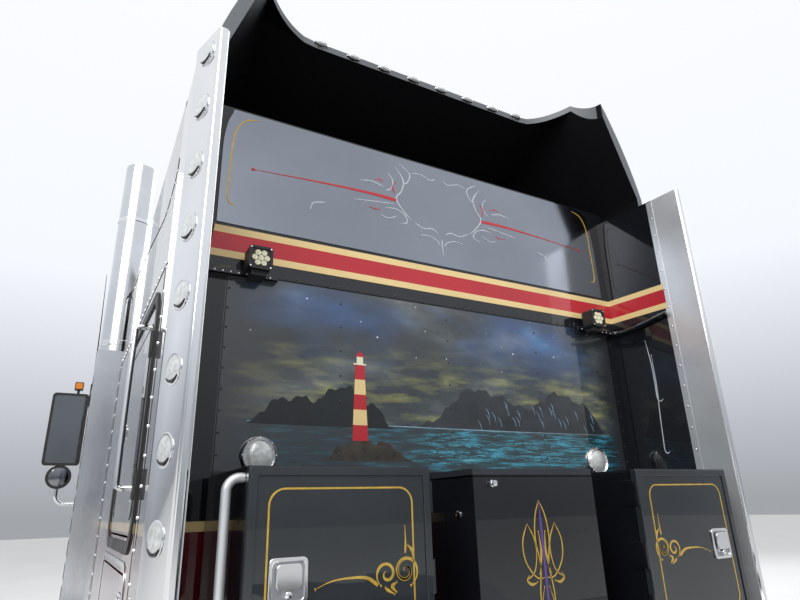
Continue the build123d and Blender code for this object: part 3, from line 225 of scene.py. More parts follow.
BLACK, MAROON, CREAM = (0.008, 0.009, 0.012), (0.115, 0.006, 0.010), (0.74, 0.56, 0.26)
RED, GOLD = (0.46, 0.012, 0.022), (0.62, 0.40, 0.06)
ROAD_DUST = (0.16, 0.14, 0.12)
GLASS_INDEX, GLASS_ROUGH, COAT_ROUGH = 1.5, 0.02, 0.02
COATED_SPECULAR, PLAIN_SPECULAR, BUMP_REACH = 0.08, 0.35, 0.002
BAND_REACH, RIM_FOOT_Z = 4.0, 3.127
PAINT_BANDS = [(0.0, MAROON), (LINE_LOW_Z, CREAM), (LINE_HIGH_Z, BLACK)]
M = {
    "body": material(
        "body_paint", BLACK, 0.22, coat=1.0, vary=0.25, grain=2.0, bump=0.03, bump_scale=60.0,
        bands=PAINT_BANDS, dust=(0.5, 1.5, ROAD_DUST, 0.10)
    ),
    "black": material("black_paint", BLACK, 0.25, coat=1.0, vary=0.3, grain=3.0, bump=0.03, bump_scale=70.0),
    "box": material(
        "box_paint", (0.026, 0.031, 0.036), 0.24, coat=1.0, vary=0.35, grain=2.4, bump=0.04, bump_scale=70.0
    ),
    "panel": material(
        "grey_black_panel", (0.29, 0.315, 0.36), 0.12, metal=1.0, vary=0.22, grain=1.4, bump=0.015,
        bump_scale=30.0
    ),
    "stud": material("dark_stud", (0.055, 0.058, 0.065), 0.28, metal=0.6, vary=0.3, grain=20.0),
    "chrome": material(
        "polished_steel", (0.78, 0.79, 0.81), 0.10, metal=1.0, vary=0.08, grain=4.0, rough_vary=0.5,
        bump=0.04, bump_scale=9.0
    ),
    "satin": material(
        "satin_metal", (0.66, 0.68, 0.70), 0.34, metal=0.62, vary=0.14, grain=5.0, bump=0.04, bump_scale=60.0,
        bump_stretch=(1.0, 1.0, 0.1)
    ),
    "stack": material(
        "stack_steel", (0.72, 0.74, 0.77), 0.14, metal=1.0, vary=0.18, grain=3.0, rough_vary=0.5, bump=0.05,
        bump_scale=40.0, bump_stretch=(1.0, 1.0, 0.08)
    ),
    "aluminium": material(
        "polished_aluminium", (0.70, 0.71, 0.73), 0.20, metal=1.0, vary=0.15, grain=8.0, bump=0.05,
        bump_scale=90.0, bump_stretch=(0.2, 3.0, 3.0), dust=(0.2, 1.0, ROAD_DUST, 0.25)
    ),
    "brushed": material(
        "brushed_plate", (0.52, 0.53, 0.55), 0.34, metal=1.0, vary=0.2, grain=10.0, bump=0.12,
        bump_scale=160.0, bump_stretch=(1.0, 8.0, 1.0)
    ),
    "chassis": material(
        "chassis_black", (0.018, 0.018, 0.019), 0.5, vary=0.5, grain=14.0, bump=0.15, bump_scale=160.0,
        dust=(0.2, 1.2, ROAD_DUST, 0.45)
    ),
    "steel": material(
        "cast_steel", (0.085, 0.083, 0.080), 0.6, metal=0.6, vary=0.5, grain=22.0, bump=0.3, bump_scale=260.0,
        dust=(0.2, 1.1, ROAD_DUST, 0.4)
    ),
    "rubber": material(
        "tyre_rubber", (0.022, 0.022, 0.022), 0.72, vary=0.35, grain=20.0, bump=0.25, bump_scale=420.0,
        dust=(0.0, 1.2, ROAD_DUST, 0.3)
    ),
    "plastic": material(
        "moulded_plastic", (0.022, 0.022, 0.024), 0.5, vary=0.25, grain=14.0, bump=0.25, bump_scale=700.0
    ),
    "cream": material(
        "cream_stripe", CREAM, 0.26, coat=1.0, vary=0.10, grain=5.0, bump=0.02, bump_scale=80.0
    ),
    "red": material("red_stripe", RED, 0.22, coat=1.0, vary=0.16, grain=3.0, bump=0.02, bump_scale=80.0),
    "gold": material(
        "gold_line", GOLD, 0.3, metal=0.25, coat=1.0, vary=0.3, grain=40.0, bump=0.05, bump_scale=300.0
    ),
    "white_line": material(
        "white_line", (0.52, 0.55, 0.60), 0.3, coat=1.0, vary=0.3, grain=30.0, bump=0.05, bump_scale=300.0
    ),
    "purple": material(
        "purple_line", (0.10, 0.05, 0.26), 0.25, coat=1.0, vary=0.2, grain=30.0, bump=0.03, bump_scale=300.0
    ),
    # Near-black for seams and gaps, also the painted shade in hand holes and stack guard slots
    "gap": material("dark_gap_and_painted_shade", (0.002, 0.002, 0.002), 0.8, vary=0.3, grain=30.0),
    "amber": material(
        "amber_lens", (0.75, 0.22, 0.01), 0.12, coat=1.0, vary=0.25, grain=60.0, bump=0.3, bump_scale=240.0
    ),
    "red_lens": material(
        "red_lens", (0.42, 0.008, 0.008), 0.12, coat=1.0, vary=0.25, grain=60.0, bump=0.3, bump_scale=240.0
    ),
    "lens": material(
        "clear_lens", (0.62, 0.64, 0.64), 0.10, metal=0.15, coat=1.0, vary=0.35, grain=70.0, bump=0.5,
        bump_scale=160.0
    ),
    "diode": material(
        "lamp_diode", (0.80, 0.78, 0.55), 0.15, coat=1.0, vary=0.3, grain=120.0, bump=0.2, bump_scale=300.0
    ),
    "mirror": material(
        "mirror_glass", (0.22, 0.23, 0.25), 0.04, metal=1.0, vary=0.15, grain=3.0, rough_vary=0.4
    ),
    "fabric": material(
        "seat_cloth", (0.16, 0.012, 0.018), 0.85, vary=0.4, grain=60.0, bump=0.6, bump_scale=900.0, sheen=0.4
    ),
    "mattress": material(
        "bunk_cloth", (0.24, 0.22, 0.20), 0.9, vary=0.3, grain=40.0, bump=0.6, bump_scale=700.0, sheen=0.4
    ),
    "glass": clear_material("window_glass", (0.62, 0.70, 0.72)),
}


def deck_material():
    made = material("tread_plate", (0.50, 0.51, 0.53), 0.32, metal=1.0, vary=0.25, grain=9.0)
    tree = made.node_tree
    bsdf = tree.nodes["Principled BSDF"]
    checks = noise(tree, 28.0, stretch=(1.0, 1.0, 0.01), kind="TexVoronoi")
    bump = node(tree, "Bump", Strength=0.7)
    bump.inputs["Distance"].default_value = 0.003
    tree.links.new(maths(tree, "LESS_THAN", checks, 0.28), bump.inputs["Height"])
    tree.links.new(bump.outputs[0], bsdf.inputs["Normal"])
    return made


M["tread_plate"] = deck_material()


def fairing_material():
    """Gloss outside, matt black inside, with a grey edge at the rim."""
    made = material("fairing_paint", BLACK, 0.24, coat=1.0, vary=0.3, grain=2.0, bump=0.03, bump_scale=60.0)
    tree = made.node_tree
    bsdf = tree.nodes["Principled BSDF"]
    coords = node(tree, "TexCoord")
    facing = node(tree, "SeparateXYZ")
    tree.links.new(coords.outputs["Normal"], facing.inputs[0])
    across, along, up = facing.outputs

    def both(first, second):
        return maths(tree, "MULTIPLY", first, second)

    def below(source, limit):
        return maths(tree, "LESS_THAN", source, limit)

    inward = both(below(both(across, height_coord(tree, "X")), -0.015), below(up, 0.05))
    inside = maths(tree, "MAXIMUM", inward, below(up, -0.03))
    rim = both(below(along, -0.2), below(maths(tree, "ABSOLUTE", up), 0.03))
    rim = both(rim, maths(tree, "GREATER_THAN", height_coord(tree), RIM_FOOT_Z))
    old = bsdf.inputs["Base Color"].links[0].from_socket
    colour = blend_colour(tree, "MIX", inside, old, (0.0035, 0.0037, 0.0045))
    coat = maths(tree, "SUBTRACT", 1.0, maths(tree, "MAXIMUM", inside, rim), True)
    for source, key in (
        (blend_colour(tree, "MIX", rim, colour, (0.16, 0.17, 0.18)), "Base Color"), (coat, "Coat Weight"),
        (stretch_range(tree, inside, 0.0, 1.0, 0.24, 0.62), "Roughness"), (both(rim, 0.7), "Metallic"),
    ):
        tree.links.new(source, bsdf.inputs[key])
    return made


M["fairing"] = fairing_material()

# Colour stops of the mural's clouds, sky, glow and water
CLOUDS = [
    (0.34, (0.005, 0.009, 0.013)), (0.52, (0.020, 0.030, 0.036)), (0.68, (0.085, 0.100, 0.110)),
    (0.82, (0.20, 0.22, 0.22))
]
NIGHT_BLUE = [(0.48, (0.0, 0.0, 0.0)), (0.66, (0.006, 0.045, 0.16)), (0.80, (0.03, 0.17, 0.38))]
GLOW = [(0.46, (0.0, 0.0, 0.0)), (0.60, (0.11, 0.11, 0.022)), (0.76, (0.36, 0.34, 0.08))]
WATER = [
    (0.36, (0.002, 0.010, 0.016)), (0.52, (0.008, 0.055, 0.070)), (0.64, (0.02, 0.26, 0.38)),
    (0.76, (0.25, 0.62, 0.75))
]


def mural_material():
    """Night bay: starry blue and slate clouds over a yellow-green glow, teal water below."""
    made, tree, bsdf = new_material("mural_paint")
    set_inputs(bsdf, Coat_Weight=1.0, Coat_Roughness=COAT_ROUGH)
    z = height_coord(tree)
    x = height_coord(tree, "X")

    def fade(source, low, high, new_low=0.0, new_high=1.0):
        return stretch_range(tree, source, low, high, new_low, new_high)

    def times(first, second, clamp=False):
        return maths(tree, "MULTIPLY", first, second, clamp)

    billow = noise(tree, 2.6, 9.0, (1.0, 1.0, 2.4))
    wisps = noise(tree, 5.5, 9.0, (1.0, 1.0, 4.5))
    deep = noise(tree, 1.7, 4.0, (1.0, 1.0, 1.8))
    sky = ramp(tree, billow, CLOUDS)
    sky = blend_colour(tree, "ADD", fade(z, 2.12, 2.32), sky, ramp(tree, deep, NIGHT_BLUE))
    glow_mask = times(fade(z, 1.88, 2.02, 0.2), fade(z, 2.05, 2.26, 1.0, 0.0))
    sky = blend_colour(tree, "ADD", glow_mask, sky, ramp(tree, wisps, GLOW))
    star_field = noise(tree, 17.0, kind="TexVoronoi")
    star = times(maths(tree, "LESS_THAN", star_field, 0.055), fade(z, 2.15, 2.25), True)
    sky = blend_colour(tree, "MIX", star, sky, (0.9, 0.95, 1.0))
    water = ramp(tree, noise(tree, 7.0, 8.0, (1.0, 1.0, 9.0)), WATER)
    lit = times(fade(x, -0.55, 0.25, 0.15), 1.0, True)
    water = blend_colour(tree, "MIX", lit, (0.004, 0.014, 0.020), water)
    picture = blend_colour(tree, "MIX", fade(z, 1.905, 1.925), water, sky)
    edge = times(fade(x, -1.0, -0.72), fade(x, 1.02, 0.86))
    edge = times(edge, fade(z, 2.47, 2.40, 0.45))
    edge = times(edge, fade(noise(tree, 4.0, 6.0), 0.25, 0.5, 0.55), True)
    tree.links.new(blend_colour(tree, "MIX", edge, (0.020, 0.022, 0.027), picture), bsdf.inputs["Base Color"])
    finish_surface(tree, bsdf, 0.24, 0.3, 3.0, 0.03, 60.0)
    return made


M["mural"] = mural_material()

# Slot of each look; the others take the black paint's
LOOKS_OF_SLOT = {
    "polished": ("chrome", "satin", "stack", "brushed"),
    "glass": ("lens", "diode", "glass", "mirror", "amber", "red_lens"),
    "trim": ("plastic", "black"), "tyre": ("rubber",), "seat": ("fabric", "mattress"),
}
SLOT_OF = {look: slot for slot, looks in LOOKS_OF_SLOT.items() for look in looks}


# Mesh helpers. A plane is (origin, u, v, normal); places on it are (u, v, height).
class Pile:
    """Collects closed shapes into one mesh."""

    def __init__(self):
        self.verts = []
        self.faces = []

    def add(self, verts, faces):
        start = len(self.verts)
        self.verts += [tuple(v) for v in verts]
        self.faces += [tuple(start + i for i in f) for f in faces]
        return self

    def rings(self, rings, loop=False):
        """Skins rings of equal length, each a list of places; a loop joins the last to the first."""
        size = len(rings[0])
        verts = [p for ring in rings for p in ring]
        faces = []
        for i in range(len(rings) if loop else len(rings) - 1):
            j = (i + 1) % len(rings)
            for k in range(size):
                n = (k + 1) % size
                faces.append((i * size + k, i * size + n, j * size + n, j * size + k))
        if not loop:
            faces.append(tuple(reversed(range(size))))
            faces.append(tuple((len(rings) - 1) * size + k for k in range(size)))
        return self.add(verts, faces)

    def block(self, low, high):
        (x0, y0, z0), (x1, y1, z1) = low, high
        return self.rings([[(x0, y0, z), (x1, y0, z), (x1, y1, z), (x0, y1, z)] for z in (z0, z1)])

    def lathe(self, profile, centre, axis, turns=24):
        """Revolves (radius, height) points round an axis through centre; ends at radius 0 are capped."""
        axis = Vector(axis).normalized()
        side = axis.orthogonal().normalized()
        other = axis.cross(side)
        centre = Vector(centre)
        rings = []
        for radius, height in profile:
            radius = max(radius, 0.0002)
            rings.append([centre + axis * height + (side * math.cos(a) + other * math.sin(a)) * radius
                          for a in (2 * math.pi * k / turns for k in range(turns))])
        return self.rings(rings)

    def tube(self, points, radius, turns=10):
        points = [Vector(p) for p in points]
        rings = []
        side = None
        for i, p in enumerate(points):
            ahead = (points[min(i + 1, len(points) - 1)] - points[max(i - 1, 0)]).normalized()
            side = ahead.orthogonal().normalized() if side is None else (
                side - ahead * side.dot(ahead)
            ).normalized()
            other = ahead.cross(side)
            size = radius(i / (len(points) - 1)) if callable(radius) else radius
            rings.append([p + (side * math.cos(a) + other * math.sin(a)) * size
                          for a in (2 * math.pi * k / turns for k in range(turns))])
        return self.rings(rings)

    def prism(self, outline, plane, low, high):
        """Raises a flat outline of (u, v) places from height low to high."""
        return self.rings([[place(plane, u, v, h) for u, v in outline] for h in (low, high)])

    def stroke(self, points, width, plane, height=0.0012, taper=(0.15, 0.15), steps=8):
        """A painted line through (u, v) points, thin at its ends."""
        line = smooth_line(points, steps)
        rings = []
        for i, (u, v) in enumerate(line):
            t = i / (len(line) - 1)
            (u0, v0), (u1, v1) = line[max(i - 1, 0)], line[min(i + 1, len(line) - 1)]
            size = math.hypot(u1 - u0, v1 - v0) or 1.0
            nu, nv = -(v1 - v0) / size, (u1 - u0) / size
            full = min(1.0, taper[0] and t / taper[0] or 1.0, taper[1] and (1 - t) / taper[1] or 1.0)
            half = width / 2 * (0.06 + 0.94 * full)
            near, far = (u + nu * half, v + nv * half), (u - nu * half, v - nv * half)
            rings.append(
                [place(plane, *p, h) for p, h in ((near, 0.0), (near, height), (far, height), (far, 0.0))]
            )
        return self.rings(rings)

    def make(self, name, mat, body="chassis", slot=None, sharp=35.0, bevel=0.0):
        slot = slot or SLOT_OF.get(mat, "black_paint")
        mesh = bpy.data.meshes.new(name)
        mesh.from_pydata(self.verts, [], self.faces)
        work = bmesh.new()
        work.from_mesh(mesh)
        bmesh.ops.recalc_face_normals(work, faces=work.faces)
        work.to_mesh(mesh)
        work.free()
        for polygon in mesh.polygons:
            polygon.use_smooth = True
        mesh.set_sharp_from_angle(angle=math.radians(sharp))
        made = bpy.data.objects.new(name, mesh)
        bpy.context.scene.collection.objects.link(made)
        mesh.materials.append(M[mat])
        if bevel:
            edge = made.modifiers.new("edge", "BEVEL")
            edge.width = bevel
            edge.segments = 2
            edge.limit_method = "ANGLE"
        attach(made, body)
        return made


def place(plane, u, v, h):
    origin, along, up, out = plane
    return Vector(origin) + Vector(along) * u + Vector(up) * v + Vector(out) * h


def smooth_line(points, steps):
    """Catmull-Rom line through the points."""
    if len(points) == 2:
        return [tuple(a + (b - a) * i / steps for a, b in zip(*points)) for i in range(steps + 1)]
    ends = [points[0]] + list(points) + [points[-1]]
    line = []
    for a, b, c, d in zip(ends, ends[1:], ends[2:], ends[3:]):
        for i in range(steps):
            t = i / steps
            line.append(
                tuple(
                    0.5 * (
                        2 * q + (r - p) * t + (2 * p - 5 * q + 4 * r - s) * t * t + (3 * q - p - 3 * r + s)
                        * t ** 3
                    ) for p, q, r, s in zip(a, b, c, d)
                )
            )
    line.append(tuple(points[-1]))
    return line


def rounded(u0, v0, u1, v1, radius, steps=6):
    """A rectangle with round corners, as (u, v) places."""
    right, left, top, bottom = u1 - radius, u0 + radius, v1 - radius, v0 + radius
    outline = []
    for cu, cv, start in ((right, top, 0), (left, top, 90), (left, bottom, 180), (right, bottom, 270)):
        for i in range(steps + 1):
            angle = math.radians(start + 90 * i / steps)
            outline.append((cu + radius * math.cos(angle), cv + radius * math.sin(angle)))
    return outline


def frame_ring(pile, outer, inner, plane, low, high):
    """A flat frame between two outlines with as many points each."""
    rings = ((outer, low), (outer, high), (inner, high), (inner, low))
    pile.rings([[place(plane, *p, h) for p in outline] for outline, h in rings], loop=True)


def rear_plane(y):
    return ((0, y, 0), (1, 0, 0), UP, REARWARD)


def front_plane(y):
    return ((0, y, 0), (1, 0, 0), UP, FORWARD)


def side_plane(sign, x):
    return ((sign * x, 0, 0), FORWARD, UP, (sign, 0, 0))


RIVET = [(0.0065, 0.0), (0.0060, 0.0020), (0.0040, 0.0036), (0.0, 0.0042)]
DIODE = [(0.0115, -0.001), (0.0110, 0.003), (0.0065, 0.0015), (0.0050, 0.003), (0.0, 0.0035)]


def rivets(name, places, size, mat="chrome"):
    pile = Pile()
    for centre, axis in places:
        pile.lathe([(r * size, h * size) for r, h in RIVET], centre, axis, 8)
    pile.make(name, mat)


def bent(pile, plane, places, radius, steps, turns):
    """A rod through (u, v, height) places on a plane."""
    pile.tube(smooth_line([place(plane, *p) for p in places], steps), radius, turns)


# Finishes of the carried-over nodes
FINISH = {
    "frame_rails": "chassis", "front_axle": "steel", "springs": "steel", "drive_line": "steel",
    "engine": "steel", "bumper": "chrome", "fuel_tanks": "aluminium", "cab_steps": "aluminium", "cab": "body",
    "windscreen": "glass", "sleeper": "body", "roof_fairing": "fairing", "side_extenders": "body",
    "lamp_pillars": "chrome", "exhaust_stacks": "stack", "deck": "tread_plate", "tool_boxes": "black",
    "box_lid": "box", "grab_rails": "satin", "fifth_wheel_base": "chassis", "fifth_wheel_plate": "steel",
    "rear_guards": "chrome", "tail_bar": "chrome", "hood": "body", "grille": "chrome", "headlamps": "chrome",
    "air_cleaners": "chrome", "roof_trim": "chrome", "work_lamps": "plastic", "cab_fittings": "plastic",
    "steering_wheel": "plastic", "tie_rod": "steel",
}
PAIR_FINISH = {
    "cab_door_": "body", "mirror_": "chrome", "side_door_": "body", "hatch_": "body", "box_door_": "box",
    "knuckle_": "steel", "front_rim_": "aluminium", "mid_rim_": "aluminium", "rear_rim_": "aluminium",
    "front_tyre_": "rubber", "mid_tyres_": "rubber", "rear_tyres_": "rubber",
}
for side_name, _ in SIDES:
    for stem, finish in PAIR_FINISH.items():
        FINISH[stem + side_name] = finish
FINISH["seats"] = "fabric"
for node_name, finish in FINISH.items():
    slots = NODES[node_name].data.materials
    if len(slots) == 0:
        slots.append(M[finish])
    for i in range(len(slots)):
        slots[i] = M[finish]


# Rear wall: stripe band round the corner, upper panel, lines, mural, seams and rivets
def ribbon(name, mat, z0, z1):
    """A flat strip on the rear wall that turns onto the inner faces of both extenders."""
    half, thick = REAR_WALL_HALF, 0.0015
    outer = [
        (-PILLAR_INNER_X - 0.002, PILLAR_FRONT_Y), (-half, WALL_Y), (half, WALL_Y),
        (PILLAR_INNER_X + 0.002, PILLAR_FRONT_Y)
    ]
    inner = [
        (-PILLAR_INNER_X, PILLAR_FRONT_Y), (-half + thick, WALL_Y - thick), (half - thick, WALL_Y - thick),
        (PILLAR_INNER_X, PILLAR_FRONT_Y)
    ]
    rings = []
    for (ox, oy), (ix, iy) in zip(outer, inner):
        near = ix - math.copysign(thick, ix)
        rings.append([(ox, oy, z0), (ox, oy, z1), (near, iy, z1), (near, iy, z0)])
    Pile().rings(rings).make(name, mat)


BAND_LOOKS = (("low_line", "cream"), ("middle", "red"), ("high_line", "cream"))
for (name, look), z0, z1 in zip(BAND_LOOKS, BAND_Z, BAND_Z[1:]):
    ribbon("band_" + name, look, z0, z1)

WALL = rear_plane(WALL_Y)
PANEL_THICK, PANEL_TOP_Z = 0.004, 3.192
PANEL_FOOT = [(-1.045, 2.662), (1.045, 2.662)]
PANEL_CURVE = [
    (1.040, 2.95), (1.020, 3.10), (0.960, 3.185), (0.60, 3.235), (0.25, 3.265), (-0.25, 3.265),
    (-0.60, 3.250), (-0.960, 3.215), (-1.020, 3.160), (-1.042, 3.06), (-1.045, 2.95)
]
outline = PANEL_FOOT + [(u, min(v, PANEL_TOP_Z)) for u, v in smooth_line(PANEL_CURVE, 6)]
Pile().prism(outline, WALL, 0.0, PANEL_THICK).make("upper_panel", "panel", bevel=0.0015)
PANEL = rear_plane(WALL_Y - PANEL_THICK)


# Lines of the upper panel's right half: paint, width, taper and (u, v) points
EVEN, SHORT, SPEAR = (0.15, 0.15), (0.5, 0.5), (0.85, 0.05)
FLOURISHES = (
    ("red", 0.016, SPEAR, ((0.925, 2.926), (0.62, 2.946), (0.38, 2.955), (0.245, 2.952))),
    ("red", 0.007, (0.6, 0.3), ((0.245, 3.05), (0.262, 3.02), (0.252, 2.985))),
    ("red", 0.006, SHORT, ((0.36, 3.035), (0.33, 3.04), (0.31, 3.03))),
    ("red", 0.006, SHORT, ((0.39, 2.885), (0.35, 2.88), (0.33, 2.885))),
    (
        "white_line", 0.006, EVEN,
        ((0.245, 3.13), (0.205, 3.07), (0.215, 3.01), (0.245, 2.96), (0.205, 2.90), (0.165, 2.865))
    ),
    ("white_line", 0.005, EVEN, ((0.225, 3.155), (0.17, 3.115), (0.178, 3.07), (0.205, 3.045))),
    ("white_line", 0.004, EVEN, ((0.29, 3.09), (0.262, 3.055), (0.27, 3.01), (0.30, 2.99))),
    ("white_line", 0.005, EVEN, ((0.30, 2.90), (0.25, 2.905), (0.205, 2.885), (0.19, 2.85), (0.225, 2.835))),
    ("white_line", 0.004, EVEN, ((0.43, 3.01), (0.37, 3.02), (0.31, 3.005))),
    ("white_line", 0.004, EVEN, ((0.46, 2.905), (0.36, 2.918), (0.26, 2.93))),
    ("white_line", 0.005, EVEN, ((0.155, 2.862), (0.105, 2.838), (0.055, 2.846), (0.02, 2.828))),
    ("white_line", 0.004, EVEN, ((0.16, 3.118), (0.11, 3.128), (0.055, 3.112), (0.02, 3.124))),
    ("white_line", 0.004, EVEN, ((0.12, 2.80), (0.075, 2.805), (0.03, 2.790), (0.012, 2.765))),
    ("white_line", 0.005, EVEN, ((0.665, 2.802), (0.652, 2.838), (0.60, 2.852))),
    ("white_line", 0.004, EVEN, ((0.245, 2.868), (0.29, 2.85), (0.33, 2.858))),
    (
        "gold", 0.006, (0.1, 0.1),
        (
            (0.905, 3.168), (0.965, 3.145), (1.000, 3.07), (1.008, 2.93), (1.012, 2.79), (1.000, 2.752),
            (0.978, 2.748)
        )
    ),
)
MIDDLE_TAIL, MIDDLE_TAIL_WIDTH = ((0.0, 2.80), (0.0, 2.76), (0.004, 2.72)), 0.004


def flourishes():
    piles = {paint: Pile() for paint in ("white_line", "red", "gold")}
    for sign in (-1, 1):
        for paint, width, taper, points in FLOURISHES:
            piles[paint].stroke([(sign * u, v) for u, v in points], width, PANEL, taper=taper)
    piles["white_line"].stroke(MIDDLE_TAIL, MIDDLE_TAIL_WIDTH, PANEL)
    for paint, name in (("white_line", "upper_scrolls"), ("red", "red_spears"), ("gold", "upper_border")):
        piles[paint].make(name, paint)


flourishes()

# Mural sheet, its hills, tower and wave lines
MURAL_HIGH = 0.0012
outline = [(-0.99, 1.735), (1.035, 1.735), (1.035, SEAM_Z - 0.004), (-0.99, SEAM_Z - 0.004)]
Pile().prism(outline, WALL, 0.0, MURAL_HIGH).make("mural_sheet", "mural")
ON_MURAL = rear_plane(WALL_Y - MURAL_HIGH)
for look, name, colour, vary, grain in (
    ("far_hill", "far_hills", (0.030, 0.036, 0.042), 0.55, 9.0),
    ("near_hill", "near_hills", (0.008, 0.012, 0.014), 0.6, 12.0),
    ("rock", "shore_rock", (0.045, 0.036, 0.026), 0.7, 26.0),
    ("foam", "wave_lines", (0.10, 0.46, 0.62), 0.6, 30.0),
    ("lit_edge", "moonlit_edge", (0.30, 0.46, 0.60), 0.5, 30.0),
):
    M[look] = material(name, colour, 0.3, coat=1.0, vary=vary, grain=grain, bump=0.03, bump_scale=60.0)


def ridge(u0, u1, base, peaks, rough, count, seed):
    rnd = random.Random(seed)
    line = []
    for i in range(count + 1):
        u = u0 + (u1 - u0) * i / count
        height = sum(h * math.exp(-(((u - c) / w) ** 2) * 2.2) for c, w, h in peaks)
        height += rough * (math.sin(u * 61.0 + seed) + 0.6 * math.sin(u * 137.0 + seed * 2))
        fade = min(1.0, i / 5, (count - i) / 5)
        line.append((u, base + max(0.0, height + rnd.uniform(-rough, rough) * 0.2) * fade))
    return line


# Hills and rock: paint, piece, (u0, u1), foot, peaks as (u, half width, height), roughness, steps,
# seed and relief
HORIZON_V = 1.914
HILLS = (
    (
        "far_hill", "mural_far_hills", (-0.30, 0.93), HORIZON_V,
        ((0.10, 0.22, 0.16), (0.30, 0.20, 0.11), (0.62, 0.26, 0.19), (0.82, 0.14, 0.08)), 0.008, 90, 3, 0.0006
    ),
    (
        "near_hill", "mural_near_hills", (-0.88, -0.28), 1.900,
        ((-0.72, 0.20, 0.10), (-0.50, 0.16, 0.15), (-0.36, 0.10, 0.05)), 0.010, 60, 5, 0.0009
    ),
    (
        "rock", "mural_rock", (-0.60, -0.20), 1.775, ((-0.44, 0.16, 0.085), (-0.30, 0.10, 0.045)), 0.008, 34,
        9, 0.0010
    ),
)
LEAST_HILL = 0.0004
WAVE_COUNT, GLINT_COUNT, WAVE_SEED = 150, 26, 21
TOWER_U, TOWER_V, TOWER_HEIGHT, TOWER_BANDS = -0.435, 1.850, 0.300, 5
TOWER_FOOT_HALF, TOWER_NARROWING = 0.034, 0.014


def hills():
    for paint, name, (u0, u1), foot, peaks, rough, count, seed, relief in HILLS:
        pile = Pile()
        line = [(u, max(v, foot + LEAST_HILL)) for u, v in ridge(u0, u1, foot, peaks, rough, count, seed)]
        for (ua, va), (ub, vb) in zip(line, line[1:]):
            pile.prism([(ua, foot), (ub, foot), (ub, vb), (ua, va)], ON_MURAL, 0.0, relief)
        pile.make(name, paint)


def waves():
    foam, lit = Pile(), Pile()
    rnd = random.Random(WAVE_SEED)
    for _ in range(WAVE_COUNT):
        u = rnd.uniform(-0.15, 0.92)
        v = rnd.uniform(1.765, 1.895)
        size = rnd.uniform(0.02, 0.09) * (1.2 - (v - 1.76) * 4)
        lift = rnd.uniform(0.001, 0.006)
        wave = [(u - size, v), (u, v + lift), (u + size, v - lift * 0.4)]
        foam.stroke(wave, rnd.uniform(0.0012, 0.0034), ON_MURAL, 0.0008, SHORT, 3)
    for _ in range(GLINT_COUNT):
        u = rnd.uniform(0.1, 0.85)
        v = HORIZON_V + rnd.uniform(0.03, 0.15)
        lit.stroke(
            [(u, v), (u + 0.012, v - 0.018), (u + 0.016, v - 0.04)], 0.003, ON_MURAL, 0.0010, (0.4, 0.5), 3
        )
    horizon = [(-0.88, 1.908), (-0.3, 1.912), (0.3, 1.911), (0.95, 1.916)]
    lit.stroke(horizon, 0.003, ON_MURAL, 0.0008, (0.3, 0.3), 6)
    foam.make("mural_waves", "foam")
    lit.make("mural_light", "lit_edge")


def tower_slab(pile, v0, v1, half0, half1, relief):
    outline = [(TOWER_U - half0, v0), (TOWER_U + half0, v0), (TOWER_U + half1, v1), (TOWER_U - half1, v1)]
    pile.prism(outline, ON_MURAL, 0.0, relief)


def tower():
    for paint, rows in (("red", (0, 2, 4)), ("cream", (1, 3))):
        pile = Pile()
        for row in rows:
            heights = [TOWER_V + TOWER_HEIGHT * k / TOWER_BANDS for k in (row, row + 1)]
            halves = [TOWER_FOOT_HALF - TOWER_NARROWING * k / TOWER_BANDS for k in (row, row + 1)]
            tower_slab(pile, *heights, *halves, 0.0012)
        pile.make("mural_tower_" + paint, paint)
    lamp, roof = Pile(), Pile()
    top = TOWER_V + TOWER_HEIGHT
    tower_slab(lamp, top, top + 0.006, 0.028, 0.028, 0.0014)
    tower_slab(lamp, top + 0.006, top + 0.034, 0.014, 0.014, 0.0012)
    lamp.make("mural_lantern", "diode", slot="black_paint")
    cap = [(TOWER_U - 0.022, top + 0.034), (TOWER_U + 0.022, top + 0.034), (TOWER_U, top + 0.058)]
    roof.prism(cap, ON_MURAL, 0.0, 0.0014)
    roof.make("mural_lantern_roof", "red")


hills()
waves()
tower()


def wall_seams():
    lines = Pile()
    lines.block((-1.06, WALL_Y - 0.0010, SEAM_Z - 0.003), (1.06, WALL_Y, SEAM_Z + 0.002))
    spots = [((-0.80 + 0.045 * i, WALL_Y, SEAM_Z + 0.012), REARWARD) for i in range(41)]
    for u in (-0.985, 1.045):
        lines.block((u - 0.0012, WALL_Y - 0.0016, 1.10), (u + 0.0012, WALL_Y, SEAM_Z))
        spots += [((u + 0.008, WALL_Y - 0.001, 1.18 + 0.076 * i), REARWARD) for i in range(17)]
    for u in (-0.52, 0.0, 0.52):
        spots += [((u, WALL_Y - 0.001, 1.80 + 0.10 * i), REARWARD) for i in range(7)]
    lines.make("wall_seams", "gap")
    rivets("wall_rivets", spots, 0.75, "stud")


wall_seams()


WORK_LAMP_X, WORK_LAMP_Z, SCREW_REACH = 0.888, 2.50, 0.038
LAMP_BAR = ((0.030, 0.0, 2.438, 2.446), (0.006, 0.0, 2.446, 2.488), (0.030, 0.027, 2.438, 2.464))


